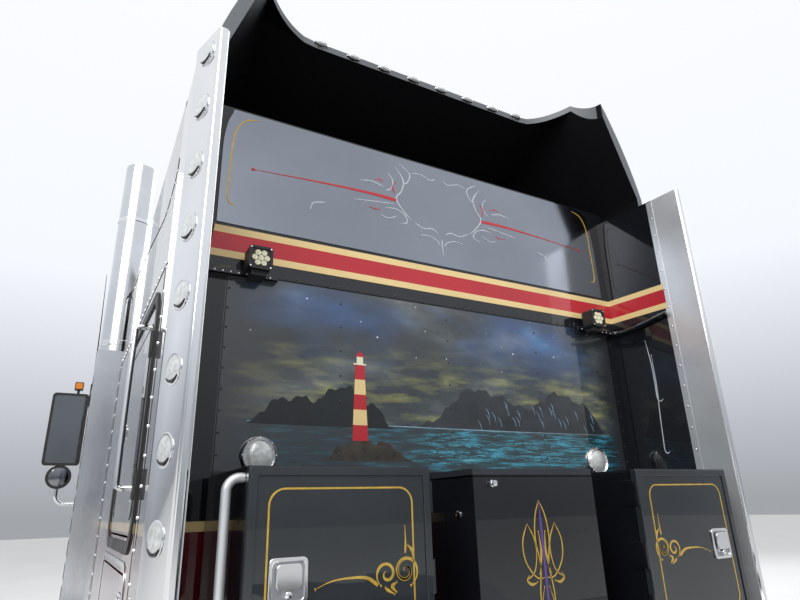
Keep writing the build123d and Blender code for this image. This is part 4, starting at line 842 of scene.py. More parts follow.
def lamp_bar():
    """Black channel under the band at each end, carrying the work lamp, and its lens with diodes."""
    for side_name, sign in SIDES:
        bar = Pile()
        low, high = sorted((sign * 1.085, sign * 0.80))
        for depth, nearer, z0, z1 in LAMP_BAR:
            bar.block((low, WALL_Y - depth, z0), (high, WALL_Y - nearer, z1))
        bar.make("lamp_bar_" + side_name, "black", bevel=0.001)
        spots = [((sign * (0.83 + 0.03 * i), WALL_Y - 0.030, 2.452), REARWARD) for i in range(8)]
        rivets("lamp_bar_rivets_" + side_name, spots, 0.55)
        drip = Pile()
        route = (
            (0.98, 0.012, 2.470), (1.06, 0.020, 2.458), (1.088, 0.060, 2.454), (1.098, 0.16, 2.462),
            (1.118, 0.325, 2.490)
        )
        drip.tube(smooth_line([(sign * x, WALL_Y - out, z) for x, out, z in route], 6), 0.011, 10)
        drip.make("drip_rail_" + side_name, "black")
    lens, diodes, screws = Pile(), Pile(), Pile()
    low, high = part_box("work_lamps")
    plane = rear_plane(low.y)
    for sign in (-1, 1):
        u = sign * WORK_LAMP_X
        outer = rounded(u - 0.046, 2.454, u + 0.046, 2.546, 0.014)
        inner = rounded(u - 0.036, 2.464, u + 0.036, 2.536, 0.008)
        frame_ring(lens, outer, inner, plane, -0.002, 0.004)
        for k in range(7):
            angle = math.radians(60 * k)
            du, dv = (0.0, 0.0) if k == 6 else (0.023 * math.cos(angle), 0.023 * math.sin(angle))
            diodes.lathe(DIODE, place(plane, u + du, WORK_LAMP_Z + dv, 0.0), REARWARD, 12)
        for dv in (-SCREW_REACH, SCREW_REACH):
            for du in (-SCREW_REACH, SCREW_REACH):
                spot = place(plane, u + du, WORK_LAMP_Z + dv, 0.004)
                screws.lathe([(r * 0.6, h * 0.6) for r, h in RIVET], spot, REARWARD, 8)
        for k in range(6):
            fin = 2.466 + 0.012 * k
            lens.block((u - 0.040, high.y - 0.030, fin), (u + 0.040, high.y - 0.020, fin + 0.004))
    lens.make("work_lamp_frames", "plastic")
    diodes.make("work_lamp_diodes", "diode")
    screws.make("work_lamp_screws", "chrome")


lamp_bar()


def round_lamp(bezel, lens, centre, axis, radius, proud):
    ring = ((1.02, 0.0), (1.26, 0.0), (1.26, 0.30), (1.20, 0.75), (1.10, 1.0), (1.00, 0.72), (0.98, 0.30))
    dome = ((1.0, 0.0), (0.99, 0.5), (0.80, 1.05), (0.45, 1.35), (0.0, 1.45))
    bezel.lathe([(radius * r, proud * h) for r, h in ring], centre, axis, 32)
    lens.lathe([(radius * r, proud * h) for r, h in dome], centre, axis, 28)


WALL_LAMP_X, WALL_LAMP_Z, WALL_LAMP_RADIUS, BOLT_RADIUS, BOLTS = 0.832, 1.788, 0.054, 0.061, 8


def wall_lamps():
    bezel, lens = Pile(), Pile()
    bolt = [(r * 0.5, h * 0.6 + 0.018) for r, h in RIVET]
    for u in (-WALL_LAMP_X, WALL_LAMP_X):
        round_lamp(bezel, lens, (u, WALL_Y, WALL_LAMP_Z), REARWARD, WALL_LAMP_RADIUS, 0.020)
        for k in range(BOLTS):
            angle = 2 * math.pi * k / BOLTS
            spot = (u + BOLT_RADIUS * math.cos(angle), WALL_Y, WALL_LAMP_Z + BOLT_RADIUS * math.sin(angle))
            bezel.lathe(bolt, spot, REARWARD, 6)
    bezel.make("wall_lamp_bezels", "chrome")
    lens.make("wall_lamp_lenses", "lens")


wall_lamps()


PILLAR_BEZEL = [(0.0395, 0.0), (0.0470, 0.0), (0.0465, 0.0022), (0.0440, 0.0038), (0.0405, 0.0030)]
PILLAR_LENS = [(0.0400, 0.0), (0.0395, 0.0028), (0.0260, 0.0046), (0.0, 0.0052)]
PAINTED_SHADE_RADIUS = 0.0385


def pillar_posts():
    low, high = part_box("lamp_pillars")
    posts = Pile()
    outline = [
        (PILLAR_OUTER_X, PILLAR_FRONT_Y), (PILLAR_REAR_X + 0.002, PILLAR_REAR_Y + 0.008),
        (PILLAR_REAR_X - 0.007, PILLAR_REAR_Y), (PILLAR_REAR_X - 0.024, PILLAR_REAR_Y),
        (PILLAR_REAR_X - 0.031, PILLAR_REAR_Y + 0.006), (PILLAR_INNER_X, PILLAR_FRONT_Y)
    ]
    for sign in (-1, 1):
        posts.rings([[(sign * x, y, z) for x, y in outline] for z in (low.z, high.z)])
    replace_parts(posts.make("pillar_posts", "chrome", bevel=0.002), "lamp_pillars")


def pillar_lamps(side_name, sign):
    out = Vector((PILLAR_FRONT_Y - PILLAR_REAR_Y, PILLAR_REAR_X - PILLAR_OUTER_X, 0.0)).normalized()
    middle_x, middle_y = (PILLAR_OUTER_X + PILLAR_REAR_X) / 2, (PILLAR_FRONT_Y + PILLAR_REAR_Y) / 2
    bezel, lens, painted_shades = Pile(), Pile(), Pile()
    normal = Vector((sign * abs(out.x), out.y, 0.0))
    across = normal.cross(Vector(UP))
    # Dark plastic crescent over the lower part of each lens: painted shade below the bezel
    arc = [
        (PAINTED_SHADE_RADIUS * math.sin(a), -PAINTED_SHADE_RADIUS * math.cos(a))
        for a in map(math.radians, range(-56, 57, 8))
    ]
    edge = [(u, v * 0.60 - 0.008) for u, v in arc]
    for k in range(LAMP_COUNT):
        centre = Vector((sign * middle_x, middle_y, LAMP_FIRST_Z + LAMP_PITCH * k))
        bezel.lathe(PILLAR_BEZEL, centre, normal, 32)
        lens.lathe(PILLAR_LENS, centre, normal, 28)
        plane = (centre, across, UP, normal)
        for outline in zip(arc, arc[1:], edge[1:], edge):
            painted_shades.prism(outline, plane, 0.0010, 0.0062)
    bezel.make("pillar_bezels_" + side_name, "chrome")
    lens.make("pillar_lenses_" + side_name, "lens")
    painted_shades.make("pillar_lamp_painted_shade_" + side_name, "plastic")


def pillar_trim(side_name, sign):
    inner = [
        ((sign * (PILLAR_INNER_X - 0.0005), PILLAR_FRONT_Y + 0.020, 1.16 + 0.14 * k), (-sign, 0, 0))
        for k in range(14)
    ]
    outer = [
        ((sign * (SIDE_X + 0.012), PILLAR_FRONT_Y + 0.025, 1.14 + 0.10 * k), (sign, 0.03, 0))
        for k in range(20)
    ]
    rivets("pillar_rivets_" + side_name, inner + outer, 0.8)
    trim = Pile()
    x0, x1 = sorted((sign * (PILLAR_INNER_X - 0.004), sign * (PILLAR_INNER_X + 0.010)))
    trim.block((x0, PILLAR_FRONT_Y - 0.004, 1.085), (x1, PILLAR_FRONT_Y + 0.030, 3.120))
    face = [
        (PILLAR_INNER_X - 0.0025, PILLAR_FRONT_Y - 0.004), (PILLAR_INNER_X + 0.0005, PILLAR_FRONT_Y - 0.004),
        (PILLAR_REAR_X - 0.030, PILLAR_REAR_Y + 0.008), (PILLAR_REAR_X - 0.0335, PILLAR_REAR_Y + 0.006)
    ]
    trim.rings([[(sign * x, y, z) for x, y in face] for z in (1.083, 3.122)])
    trim.make("pillar_trim_" + side_name, "satin", bevel=0.0008)
    spots = [
        ((sign * (PILLAR_INNER_X - 0.0035), PILLAR_FRONT_Y + 0.013, 1.12 + 0.100 * k), (-sign, 0, 0))
        for k in range(20)
    ]
    rivets("pillar_trim_rivets_" + side_name, spots, 0.8)


pillar_posts()
for side_name, sign in SIDES:
    pillar_lamps(side_name, sign)
    pillar_trim(side_name, sign)


def oval(centre, width, height, grow, out):
    """A ring of places round an upright oval that faces rearward."""
    return [(centre[0] + width * grow * math.cos(a), centre[1] - out, centre[2] + height * grow * math.sin(a))
            for a in (2 * math.pi * j / 24 for j in range(24))]


MARKERS, MARKER_FIRST_X, MARKER_PITCH = 8, -0.6125, 0.175
MARKER_BASE = ((1.0, 0.0), (1.0, 0.006), (0.86, 0.012), (0.80, 0.010))
MARKER_LENS = ((1.0, 0.008), (0.95, 0.014), (0.60, 0.020), (0.05, 0.022))


def rim_markers():
    base, lens = Pile(), Pile()
    for k in range(MARKERS):
        rise = 0.010 if k in (0, MARKERS - 1) else 0.0
        centre = (MARKER_FIRST_X + MARKER_PITCH * k, CREST_Y, CREST_Z + rise)
        base.rings([oval(centre, 0.038, 0.0155, g, h) for g, h in MARKER_BASE])
        lens.rings([oval(centre, 0.032, 0.0120, g, h) for g, h in MARKER_LENS])
    base.make("rim_marker_bases", "chrome")
    lens.make("rim_marker_lenses", "lens")


rim_markers()


# Tool boxes: frames round the doors, lines and scrolls, latches, hinges and knobs
SPIRAL_CORE, SPIRAL_STEPS = 0.18, 14


def spiral(centre, radius, start, turn):
    """Points that wind in from the radius to a fraction of it; angles in degrees."""
    points = []
    for i in range(SPIRAL_STEPS + 1):
        angle = math.radians(start + turn * i / SPIRAL_STEPS)
        reach = radius * (1 - (1 - SPIRAL_CORE) * i / SPIRAL_STEPS)
        points.append((centre[0] + reach * math.cos(angle), centre[1] + reach * math.sin(angle)))
    return points


PADDLE_KNOB = [(0.010, 0.0), (0.010, 0.010), (0.007, 0.012), (0.0, 0.0125)]
# Scroll of an outer box's door: width, taper, steps and (offset from the hinge edge, height) points
DOOR_SCROLL = (
    (0.0085, (0.2, 0.3), 3, spiral((0.092, 0.0), 0.042, 250, -560)),
    (0.005, (0.3, 0.3), 3, spiral((0.092, 0.0), 0.030, 70, -420)),
    (0.0075, (0.2, 0.3), 3, spiral((0.152, -0.004), 0.034, 300, 480)),
    (
        0.0095, (0.05, 0.85), 8,
        ((0.180, -0.030), (0.212, -0.010), (0.260, -0.006), (0.315, -0.010), (0.362, -0.026))
    ),
    (0.010, (0.4, 0.4), 8, ((0.122, -0.052), (0.135, -0.036), (0.120, -0.026))),
    (0.008, (0.4, 0.4), 8, ((0.128, -0.056), (0.150, -0.044), (0.158, -0.036))),
    (0.010, (0.5, 0.4), 8, ((0.066, 0.020), (0.068, 0.050), (0.084, 0.066))),
    (0.006, (0.1, 0.8), 8, ((0.092, 0.046), (0.090, 0.080), (0.091, 0.118))),
)


def box_face(side_name, sign):
    """Everything on one outer box's door. The hinge edge is the inner one."""
    low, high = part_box("box_door_" + side_name)
    body = "box_door_%s_body" % side_name
    plane = rear_plane(low.y)
    inner, outer = (high.x, low.x) if sign < 0 else (low.x, high.x)

    def u(offset):
        return inner + sign * offset

    lines, scroll = Pile(), Pile()
    u0, u1 = sorted((u(0.062), outer - sign * 0.055))
    border = rounded(u0, low.z + 0.05, u1, high.z - 0.055, 0.045, 8)
    inset = rounded(u0 + 0.005, low.z + 0.055, u1 - 0.005, high.z - 0.060, 0.040, 8)
    frame_ring(lines, border, inset, plane, 0.0, 0.001)
    lines.make("door_border_" + side_name, "gold", body)
    cv = low.z + 0.275
    for width, taper, steps, points in DOOR_SCROLL:
        scroll.stroke([(u(p), cv + q) for p, q in points], width, plane, taper=taper, steps=steps)
    scroll.make("door_scroll_" + side_name, "gold", body)
    # paddle latch in its dish
    hand, dish = Pile(), Pile()
    lu = u(abs(high.x - low.x) - 0.115)
    rim = rounded(lu - 0.052, cv - 0.055, lu + 0.052, cv + 0.055, 0.014)
    bowl = rounded(lu - 0.042, cv - 0.045, lu + 0.042, cv + 0.045, 0.010)
    frame_ring(hand, rim, bowl, plane, 0.0, 0.006)
    dish.prism(bowl, plane, -0.0002, 0.0012)
    hand.prism(rounded(lu - 0.034, cv - 0.020, lu + 0.034, cv + 0.040, 0.012), plane, 0.004, 0.014)
    hand.lathe(PADDLE_KNOB, place(plane, lu, cv - 0.032, 0.001), REARWARD, 16)
    hand.make("latch_" + side_name, "chrome", body, bevel=0.0015)
    dish.make("latch_dish_" + side_name, "brushed", body)
    # hinge barrels round the door's own axis, with a leaf of each on the box's side
    barrels, leaves = Pile(), Pile()
    leaf_xs = sorted((u(-0.0008), u(-0.0034)))
    for z in (high.z - 0.085, high.z - 0.30, low.z + 0.085):
        barrels.tube([(inner, low.y, z - 0.045), (inner, low.y, z + 0.045)], 0.0065, 12)
        leaves.block((leaf_xs[0], low.y + 0.0073, z - 0.045), (leaf_xs[1], low.y + 0.066, z + 0.045))
    barrels.make("hinge_barrels_" + side_name, "black", body)
    leaves.make("hinge_leaves_" + side_name, "black", bevel=0.0008)
    # raised lip round the door's edge
    lip, edge = Pile(), Pile()
    outside = rounded(low.x + 0.002, low.z + 0.002, high.x - 0.002, high.z - 0.002, 0.006, 3)
    inside = rounded(low.x + 0.024, low.z + 0.024, high.x - 0.024, high.z - 0.024, 0.010, 3)
    frame_ring(lip, outside, inside, plane, 0.0, 0.0045)
    lip.make("door_lip_" + side_name, "box", body, bevel=0.0012)
    # Thin lighter metallic strip along the door's top edge: a painted highlight
    edge.block(
        (low.x - 0.0005, low.y - 0.0005, high.z - 0.0030), (high.x + 0.0005, high.y + 0.0005, high.z + 0.0008)
    )
    edge.make("door_top_painted_highlight_" + side_name, "stud", body)


for side_name, sign in SIDES:
    box_face(side_name, sign)


FLAME_TOP_Z = 1.612
# Flame of the middle box, right half: width, taper and (offset from the middle, height from the tip) points
FLAME = (
    (
        0.0042, (0.1, 0.2),
        ((0, 0), (0.022, -0.05), (0.030, -0.12), (0.018, -0.20), (0.030, -0.30), (0.018, -0.46))
    ),
    (
        0.0042, (0.15, 0.1),
        ((0.060, -0.072), (0.084, -0.125), (0.078, -0.185), (0.040, -0.232), (0.006, -0.236))
    ),
    (
        0.0036, (0.15, 0.1),
        ((0.060, -0.072), (0.036, -0.115), (0.030, -0.160), (0.044, -0.214), (0.078, -0.238))
    ),
    (0.0080, (0.5, 0.4), ((0.014, -0.095), (0.010, -0.16), (0.024, -0.225))),
    (0.0085, (0.3, 0.5), ((0.036, -0.246), (0.060, -0.252), (0.078, -0.240), (0.070, -0.226))),
    (0.0036, (0.3, 0.4), ((0.010, -0.26), (0.036, -0.36), (0.012, -0.47))),
)
KNOB = [
    (0.011, 0.0), (0.011, 0.003), (0.006, 0.004), (0.006, 0.010), (0.0095, 0.012), (0.0095, 0.018),
    (0.0, 0.019)
]
SIDE_LOCK = [(0.012, 0.0), (0.012, 0.004), (0.008, 0.006), (0.0, 0.007)]


def middle_box():
    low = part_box("tool_boxes")[0]
    lid_low, lid_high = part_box("box_lid")
    plane = rear_plane(low.y)
    centre = (lid_low.x + lid_high.x) / 2
    gold, purple, knobs, lip = Pile(), Pile(), Pile(), Pile()
    for sign in (-1, 1):
        for width, taper, points in FLAME:
            line = [(centre + sign * du, FLAME_TOP_Z + dv) for du, dv in points]
            gold.stroke(line, width, plane, taper=taper)
    purple.stroke(
        [(centre, FLAME_TOP_Z + dv) for dv in (-0.006, -0.12, -0.26, -0.48)], 0.0095, plane, taper=(0.2, 0.25)
    )
    gold.make("flame_lines", "gold")
    purple.make("flame_stem", "purple")
    knobs.lathe(KNOB, place(plane, lid_low.x + 0.075, 1.668, 0.0), REARWARD, 18)
    for x, sign in ((lid_low.x, -1), (lid_high.x, 1)):
        knobs.lathe(SIDE_LOCK, (x, low.y + 0.09, 1.575), (sign, 0, 0), 18)
    knobs.make("box_knobs", "chrome")
    lip.block(
        (lid_low.x - 0.001, low.y - 0.0005, lid_low.z - 0.004),
        (lid_high.x + 0.001, low.y + 0.002, lid_low.z - 0.001)
    )
    lip.make("lid_gap_line", "gap")


middle_box()


# Right and left corners: white lines on the extenders' inner faces, as (y, z) points
CORNER_LINES = (
    ((-1.029, 2.383), (-1.041, 2.259), (-1.042, 2.153), (-1.042, 2.082), (-1.056, 2.066), (-1.071, 2.074)),
    ((-1.049, 2.303), (-1.049, 2.152), (-1.040, 2.000), (-1.035, 1.889), (-1.034, 1.829), (-1.047, 1.815),
     (-1.057, 1.824)),
)


def corner_lines():
    for side_name, sign in SIDES:
        run = Vector((sign * (PILLAR_INNER_X - REAR_WALL_HALF), PILLAR_FRONT_Y - WALL_Y, 0.0)).normalized()
        out = Vector((-sign * abs(run.y), -abs(run.x), 0.0))
        plane = ((sign * REAR_WALL_HALF, WALL_Y, 0.0), run, UP, out)
        lines = Pile()
        for points in CORNER_LINES:
            lines.stroke([((WALL_Y - y) / abs(run.y), z) for y, z in points], 0.0045, plane)
        lines.make("corner_lines_" + side_name, "white_line")


corner_lines()


# Sleeper sides: door rubbers, hinges, pull bars, hatch frames and latches, seams and studs
CAP_SEAM = [
    (-0.845, 2.905), (-0.806, 2.835), (-0.660, 2.782), (-0.526, 2.776), (-0.10, 2.838), (0.331, 2.892),
    (0.905, 2.905)
]
PULL_BAR = (
    (-0.42, 1.70, 0.0), (-0.42, 1.705, 0.034), (-0.42, 1.76, 0.042), (-0.40, 2.28, 0.042),
    (-0.40, 2.335, 0.034), (-0.40, 2.34, 0.0)
)
STUB = (0.01, 0.01)


def side_frames(side_name, plane):
    rubber, edge = Pile(), Pile()
    outer, inner = rounded(-0.757, 1.478, 0.210, 2.412, 0.120), rounded(-0.712, 1.518, 0.165, 2.372, 0.090)
    frame_ring(rubber, outer, inner, plane, 0.0, 0.006)
    for z in (2.186, 1.700):
        rubber.tube([place(plane, -0.724, z + d, 0.008) for d in (-0.05, 0.05)], 0.0075, 12)
        rubber.prism(rounded(-0.752, z - 0.035, -0.728, z + 0.035, 0.006, 3), plane, 0.0, 0.009)
    rubber.make("side_door_rubber_" + side_name, "plastic")
    outer, inner = rounded(-0.690, 1.075, 0.300, 1.455, 0.070), rounded(-0.672, 1.093, 0.282, 1.437, 0.055)
    frame_ring(edge, outer, inner, plane, 0.0, 0.004)
    edge.make("hatch_frame_" + side_name, "chrome", bevel=0.001)


def side_fittings(side_name, plane):
    bar, pane, latches = Pile(), Pile(), Pile()
    body = "side_door_%s_body" % side_name
    bent(bar, plane, PULL_BAR, 0.011, 5, 14)
    bar.prism(rounded(0.020, 1.900, 0.110, 2.000, 0.016), plane, 0.0, 0.005)
    bar.prism(rounded(0.034, 1.930, 0.096, 1.985, 0.012), plane, 0.004, 0.013)
    bar.make("side_door_pull_" + side_name, "chrome", body)
    outer, inner = rounded(-0.640, 1.585, 0.100, 2.305, 0.060), rounded(-0.628, 1.597, 0.088, 2.293, 0.050)
    frame_ring(pane, outer, inner, plane, -0.0005, 0.0025)
    pane.make("side_door_bead_" + side_name, "black", body, slot="black_paint")
    for z in (1.190, 1.330):
        latches.prism(rounded(-0.635, z - 0.030, -0.545, z + 0.030, 0.014), plane, 0.0, 0.004)
        latches.prism(rounded(-0.622, z - 0.018, -0.566, z + 0.018, 0.010), plane, 0.003, 0.010)
    latches.make("hatch_latches_" + side_name, "chrome", "hatch_%s_body" % side_name, bevel=0.001)


def side_seams(side_name, sign, plane):
    seams, rail = Pile(), Pile()
    seams.stroke(CAP_SEAM, 0.006, plane, taper=STUB)
    seams.stroke([(-0.850, SEAM_Z), (0.920, SEAM_Z)], 0.005, plane, taper=STUB)
    for y in (-0.815, 0.880):
        seams.stroke([(y, 1.06), (y, SEAM_Z)], 0.004, plane, 0.0010, STUB)
    seams.make("side_seams_" + side_name, "gap")
    line = smooth_line(CAP_SEAM, 6)
    spots = [(u, v - 0.020) for u, v in line[3:-2:3]] + [(-0.80 + 0.085 * k, 2.478) for k in range(20)]
    for y in (-0.830, 0.895):
        spots += [(y, 1.12 + 0.095 * k) for k in range(15)]
    rivets("side_studs_" + side_name, [(place(plane, u, v, 0.0), (sign, 0, 0)) for u, v in spots], 0.85)
    x0, x1 = sorted((sign * 1.200, sign * 1.206))
    rail.block((x0, -0.850, 1.052), (x1, 0.920, 1.066))
    rail.make("sill_strip_" + side_name, "chrome", bevel=0.001)


for side_name, sign in SIDES:
    plane = side_plane(sign, SIDE_X)
    side_frames(side_name, plane)
    side_fittings(side_name, plane)
    side_seams(side_name, sign, plane)


# Tyres with grooves and lugs, wheel nuts, hub caps, and dark discs of painted shade in the hand holes
def arc_through(a, b, c, count):
    (ax, ay), (bx, by), (cx, cy) = a, b, c
    d = 2 * (ax * (by - cy) + bx * (cy - ay) + cx * (ay - by))
    qa, qb, qc = ax * ax + ay * ay, bx * bx + by * by, cx * cx + cy * cy
    ux = (qa * (by - cy) + qb * (cy - ay) + qc * (ay - by)) / d
    uy = (qa * (cx - bx) + qb * (ax - cx) + qc * (bx - ax)) / d
    radius = math.hypot(ax - ux, ay - uy)
    start, end = math.atan2(ay - uy, ax - ux), math.atan2(cy - uy, cx - ux)
    sweep = (end - start + math.pi) % (2 * math.pi) - math.pi
    return [
        (ux + radius * math.cos(start + sweep * i / count), uy + radius * math.sin(start + sweep * i / count))
        for i in range(count + 1)
    ]


TYRE_R, RIM_R, GROOVE_R, PITCHES = 0.520, 0.286, 0.509, 46


def tyre_ring(pile, centre, steps, shoulder_cut, rib_cut):
    """One tyre: steps are (fraction of a pitch, whether this ring is in a cut).

    Kinds of profile points: 0 plain, 1 shoulder, 2 rib, 3 middle rib.
    """
    wall = arc_through((0.115, RIM_R), (0.140, 0.391), (0.126, 0.494), 8)
    half = wall[:5] + [
        (wall[5][0] + 0.0015, wall[5][1]), (wall[5][0] + 0.0015, wall[5][1] + 0.006)
    ] + wall[6:]
    half = [(u, r, 0) for u, r in half[:-1]] + [(0.126, 0.494, 1), (0.106, 0.5195, 1), (0.0665, TYRE_R, 1)]
    half += [(0.0655, GROOVE_R, 0), (0.0585, GROOVE_R, 0), (0.0575, TYRE_R, 2), (0.0255, TYRE_R, 2)]
    half += [(0.0245, GROOVE_R, 0), (0.0175, GROOVE_R, 0), (0.0165, TYRE_R, 3)]
    profile = half + [(-u, r, k) for u, r, k in reversed(half)]
    rings = []
    for p in range(PITCHES):
        for fraction, cut in steps:
            angle = 2 * math.pi * (p + fraction) / PITCHES
            ring = []
            for u, r, kind in profile:
                depth = 0.0
                if kind == 1 and cut:
                    depth = shoulder_cut
                elif kind == 2 and not cut or kind == 3 and cut:
                    depth = rib_cut
                reach = r - depth
                ring.append(
                    (centre[0] + u, centre[1] + reach * math.cos(angle), centre[2] + reach * math.sin(angle))
                )
            rings.append(ring)
    pile.rings(rings, loop=True)


NUTS = 10
NUT = [(0.0200, 0.0), (0.0200, 0.003), (0.0165, 0.004), (0.0165, 0.018), (0.0110, 0.024), (0.0, 0.027)]
HAND_HOLE_SHADE = [(0.0215, -0.001), (0.0215, 0.0012), (0.0, 0.0013)]
HUB_CAP = ((1.0, 0.0), (1.0, 0.004), (0.86, 0.006), (0.80, 0.014), (0.45, 0.020), (0.0, 0.022))


def hub_dress(body, centre, sign, nut_radius, nut_x, cap_radius, cap_x, hole):
    """Nuts, cap and dark discs of painted shade in the hand holes; hole is (radius, x, and the x and radial
    parts of its axis).
    """
    nuts, cap, hole_shades = Pile(), Pile(), Pile()
    axis = (sign, 0, 0)
    hole_radius, hole_x, tilt_x, tilt_radial = hole

    def around(x, radius, angle):
        return (
            centre[0] + sign * x, centre[1] + radius * math.cos(angle), centre[2] + radius * math.sin(angle)
        )

    for k in range(NUTS):
        angle = 2 * math.pi * k / NUTS
        nuts.lathe(NUT, around(nut_x, nut_radius, angle), axis, 6)
        angle += math.pi / NUTS
        out = Vector((sign * tilt_x, tilt_radial * math.cos(angle), tilt_radial * math.sin(angle)))
        # Dark disc in each hand hole: painted shade inside the wheel
        hole_shades.lathe(HAND_HOLE_SHADE, around(hole_x, hole_radius, angle), out, 18)
    cap.lathe(
        [(cap_radius * r, h) for r, h in HUB_CAP], (centre[0] + sign * cap_x, centre[1], centre[2]), axis, 32
    )
    nuts.make("nuts_" + body, "chrome", body)
    cap.make("hub_cap_" + body, "chrome", body)
    hole_shades.make("hand_hole_painted_shade_" + body, "gap", body, slot="trim")


# Steps of a tread's pitch, and hub measures for hub_dress
RIBBED = ((0.0, 0), (0.86, 0), (0.89, 1), (0.97, 1))
LUGGED = ((0.0, 0), (0.64, 0), (0.69, 1), (0.95, 1))
FRONT_HUB = (0.142, 0.112, 0.0775, 0.140, (0.235, 0.096, 0.909, 0.416))
DRIVE_HUB = (0.138, 0.018, 0.088, 0.180, (0.228, 0.0468, 0.83, -0.557))


def wheels():
    for side_name, sign in SIDES:
        body = "front_wheel_" + side_name
        centre = (sign * FRONT_WHEEL_X, FRONT_AXLE_Y, AXLE_Z)
        tyre = Pile()
        tyre_ring(tyre, centre, RIBBED, 0.004, 0.0)
        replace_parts(tyre.make("front_tread_" + side_name, "rubber", body), "front_tyre_" + side_name)
        hub_dress(body, centre, sign, *FRONT_HUB)
        for axle, y in zip(("mid", "rear"), DRIVE_AXLE_YS):
            body = "%s_wheel_%s" % (axle, side_name)
            centre = (sign * DRIVE_WHEEL_X, y, AXLE_Z)
            twins = Pile()
            for offset in (-TWIN_OFFSET, TWIN_OFFSET):
                tyre_ring(twins, (centre[0] + offset, y, AXLE_Z), LUGGED, 0.009, 0.006)
            made = twins.make("%s_tread_%s" % (axle, side_name), "rubber", body)
            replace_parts(made, "%s_tyres_%s" % (axle, side_name))
            hub_dress(body, centre, sign, *DRIVE_HUB)


wheels()


# Cab doors: glass, window rubber, handle; mirrors with glass, lamp and whip
WINDOW = [(1.230, 1.740), (1.990, 1.740), (1.990, 1.800), (1.830, 2.310), (1.230, 2.310)]
RUBBER_OUTER = [(1.212, 1.722), (2.008, 1.722), (2.010, 1.803), (1.845, 2.328), (1.212, 2.328)]
RUBBER_INNER = [(1.238, 1.748), (1.982, 1.748), (1.982, 1.798), (1.824, 2.302), (1.238, 2.302)]
HANDLE = ((1.215, 1.622, 0.004), (1.225, 1.622, 0.026), (1.310, 1.622, 0.028), (1.325, 1.622, 0.004))
GRAB_RAIL = (
    (1.125, 1.30, 0.0), (1.125, 1.305, 0.038), (1.125, 1.36, 0.046), (1.125, 2.10, 0.046),
    (1.125, 2.155, 0.038), (1.125, 2.16, 0.0)
)
CAB_SIDE_X = 1.020
MIRROR_X, MIRROR_Y, SPOT_MIRROR = 1.440, 1.810, (1.815, 1.866)
MAST_Y, MAST_X, MIRROR_LAMP_X = 1.835, 1.314, 1.400


def cab_door(side_name, sign):
    body = "cab_door_%s_body" % side_name
    plane = side_plane(sign, CAB_SIDE_X)
    glass, rubber, handle, rail = Pile(), Pile(), Pile(), Pile()
    glass.prism(WINDOW, plane, -0.030, -0.024)
    glass.make("door_glass_" + side_name, "glass", body)
    frame_ring(rubber, RUBBER_OUTER, RUBBER_INNER, plane, -0.004, 0.003)
    rubber.stroke([(1.560, 1.742), (1.560, 2.308)], 0.014, plane, -0.018, (0, 0))
    rubber.make("window_rubber_" + side_name, "plastic", body)
    handle.prism(rounded(1.195, 1.585, 1.345, 1.655, 0.022), plane, 0.0, 0.006)
    bent(handle, plane, HANDLE, 0.008, 4, 10)
    handle.make("door_handle_" + side_name, "chrome", body, bevel=0.001)
    bent(rail, plane, GRAB_RAIL, 0.0125, 5, 14)
    rail.make("cab_grab_" + side_name, "chrome")


def mirror(side_name, sign):
    body = "cab_door_%s_body" % side_name
    x, face = sign * MIRROR_X, rear_plane(MIRROR_Y)
    glass, shell, mast, amber = Pile(), Pile(), Pile(), Pile()
    glass.prism(rounded(x - 0.098, 1.957, x + 0.098, 2.423, 0.020), face, 0.0, 0.0020)
    glass.lathe([(0.068, 0.0), (0.066, 0.004), (0.040, 0.009), (0.0, 0.011)], (x, *SPOT_MIRROR), REARWARD, 28)
    glass.make("mirror_glass_" + side_name, "mirror", body)
    outer = rounded(x - 0.1145, 1.9405, x + 0.1145, 2.4395, 0.026)
    frame_ring(shell, outer, rounded(x - 0.097, 1.958, x + 0.097, 2.422, 0.020), face, -0.0010, 0.0045)
    shell.lathe([(0.0785, -0.002), (0.0785, 0.004), (0.068, 0.005)], (x, *SPOT_MIRROR), REARWARD, 28)
    shell.make("mirror_surround_" + side_name, "plastic", body)
    lx, mx = sign * MIRROR_LAMP_X, sign * MAST_X
    mast.tube([(lx, MAST_Y, 2.350), (lx, MAST_Y, 2.480)], 0.009, 10)
    mast.prism(rounded(lx - 0.028, 2.468, lx + 0.028, 2.524, 0.008), rear_plane(MIRROR_Y + 0.050), 0.0, 0.050)
    mast.tube([(mx, MAST_Y, 2.345), (mx, MAST_Y, 2.520)], 0.014, 12)
    whip = [(sign * x, MAST_Y, z) for x, z in ((MAST_X, 2.500), (1.322, 2.95), (1.334, 3.385))]
    mast.tube(whip, lambda t: 0.0055 - 0.0037 * t, 8)
    mast.make("mirror_mast_" + side_name, "plastic", body)
    for plane in (face, front_plane(MIRROR_Y + 0.050)):
        amber.prism(rounded(lx - 0.022, 2.474, lx + 0.022, 2.518, 0.006), plane, 0.0, 0.004)
    amber.make("mirror_lamp_" + side_name, "amber", body, bevel=0.001)


for side_name, sign in SIDES:
    cab_door(side_name, sign)
    mirror(side_name, sign)


# Nose: grille mesh, headlamps, roof lamps, wipers, hood strip, vents and latches
HEADLAMP_XS, HEADLAMP_Y, HEADLAMP_Z, TURN_LAMP_X = (0.610, 0.800), 4.125, 1.190, 1.000
BEZEL = [(0.080, -0.002), (0.0905, -0.002), (0.0905, 0.006), (0.086, 0.012), (0.080, 0.010)]
HEADLAMP = [(0.0800, 0.001), (0.0795, 0.007), (0.060, 0.012), (0.030, 0.015), (0.0, 0.016)]
ROOF_LAMP = [(0.027, 0.0), (0.0265, 0.005), (0.018, 0.010), (0.0, 0.012)]
# Rods of a wiper: radius and places for on_screen
WIPER_ARM = (0.006, ((0.10, 0.015, 0.004), (0.10, 0.03, 0.022), (0.34, 0.42, 0.020)))
WIPER_BLADE = (0.0055, ((0.06, 0.50, 0.012), (0.34, 0.42, 0.015), (0.62, 0.34, 0.012)))


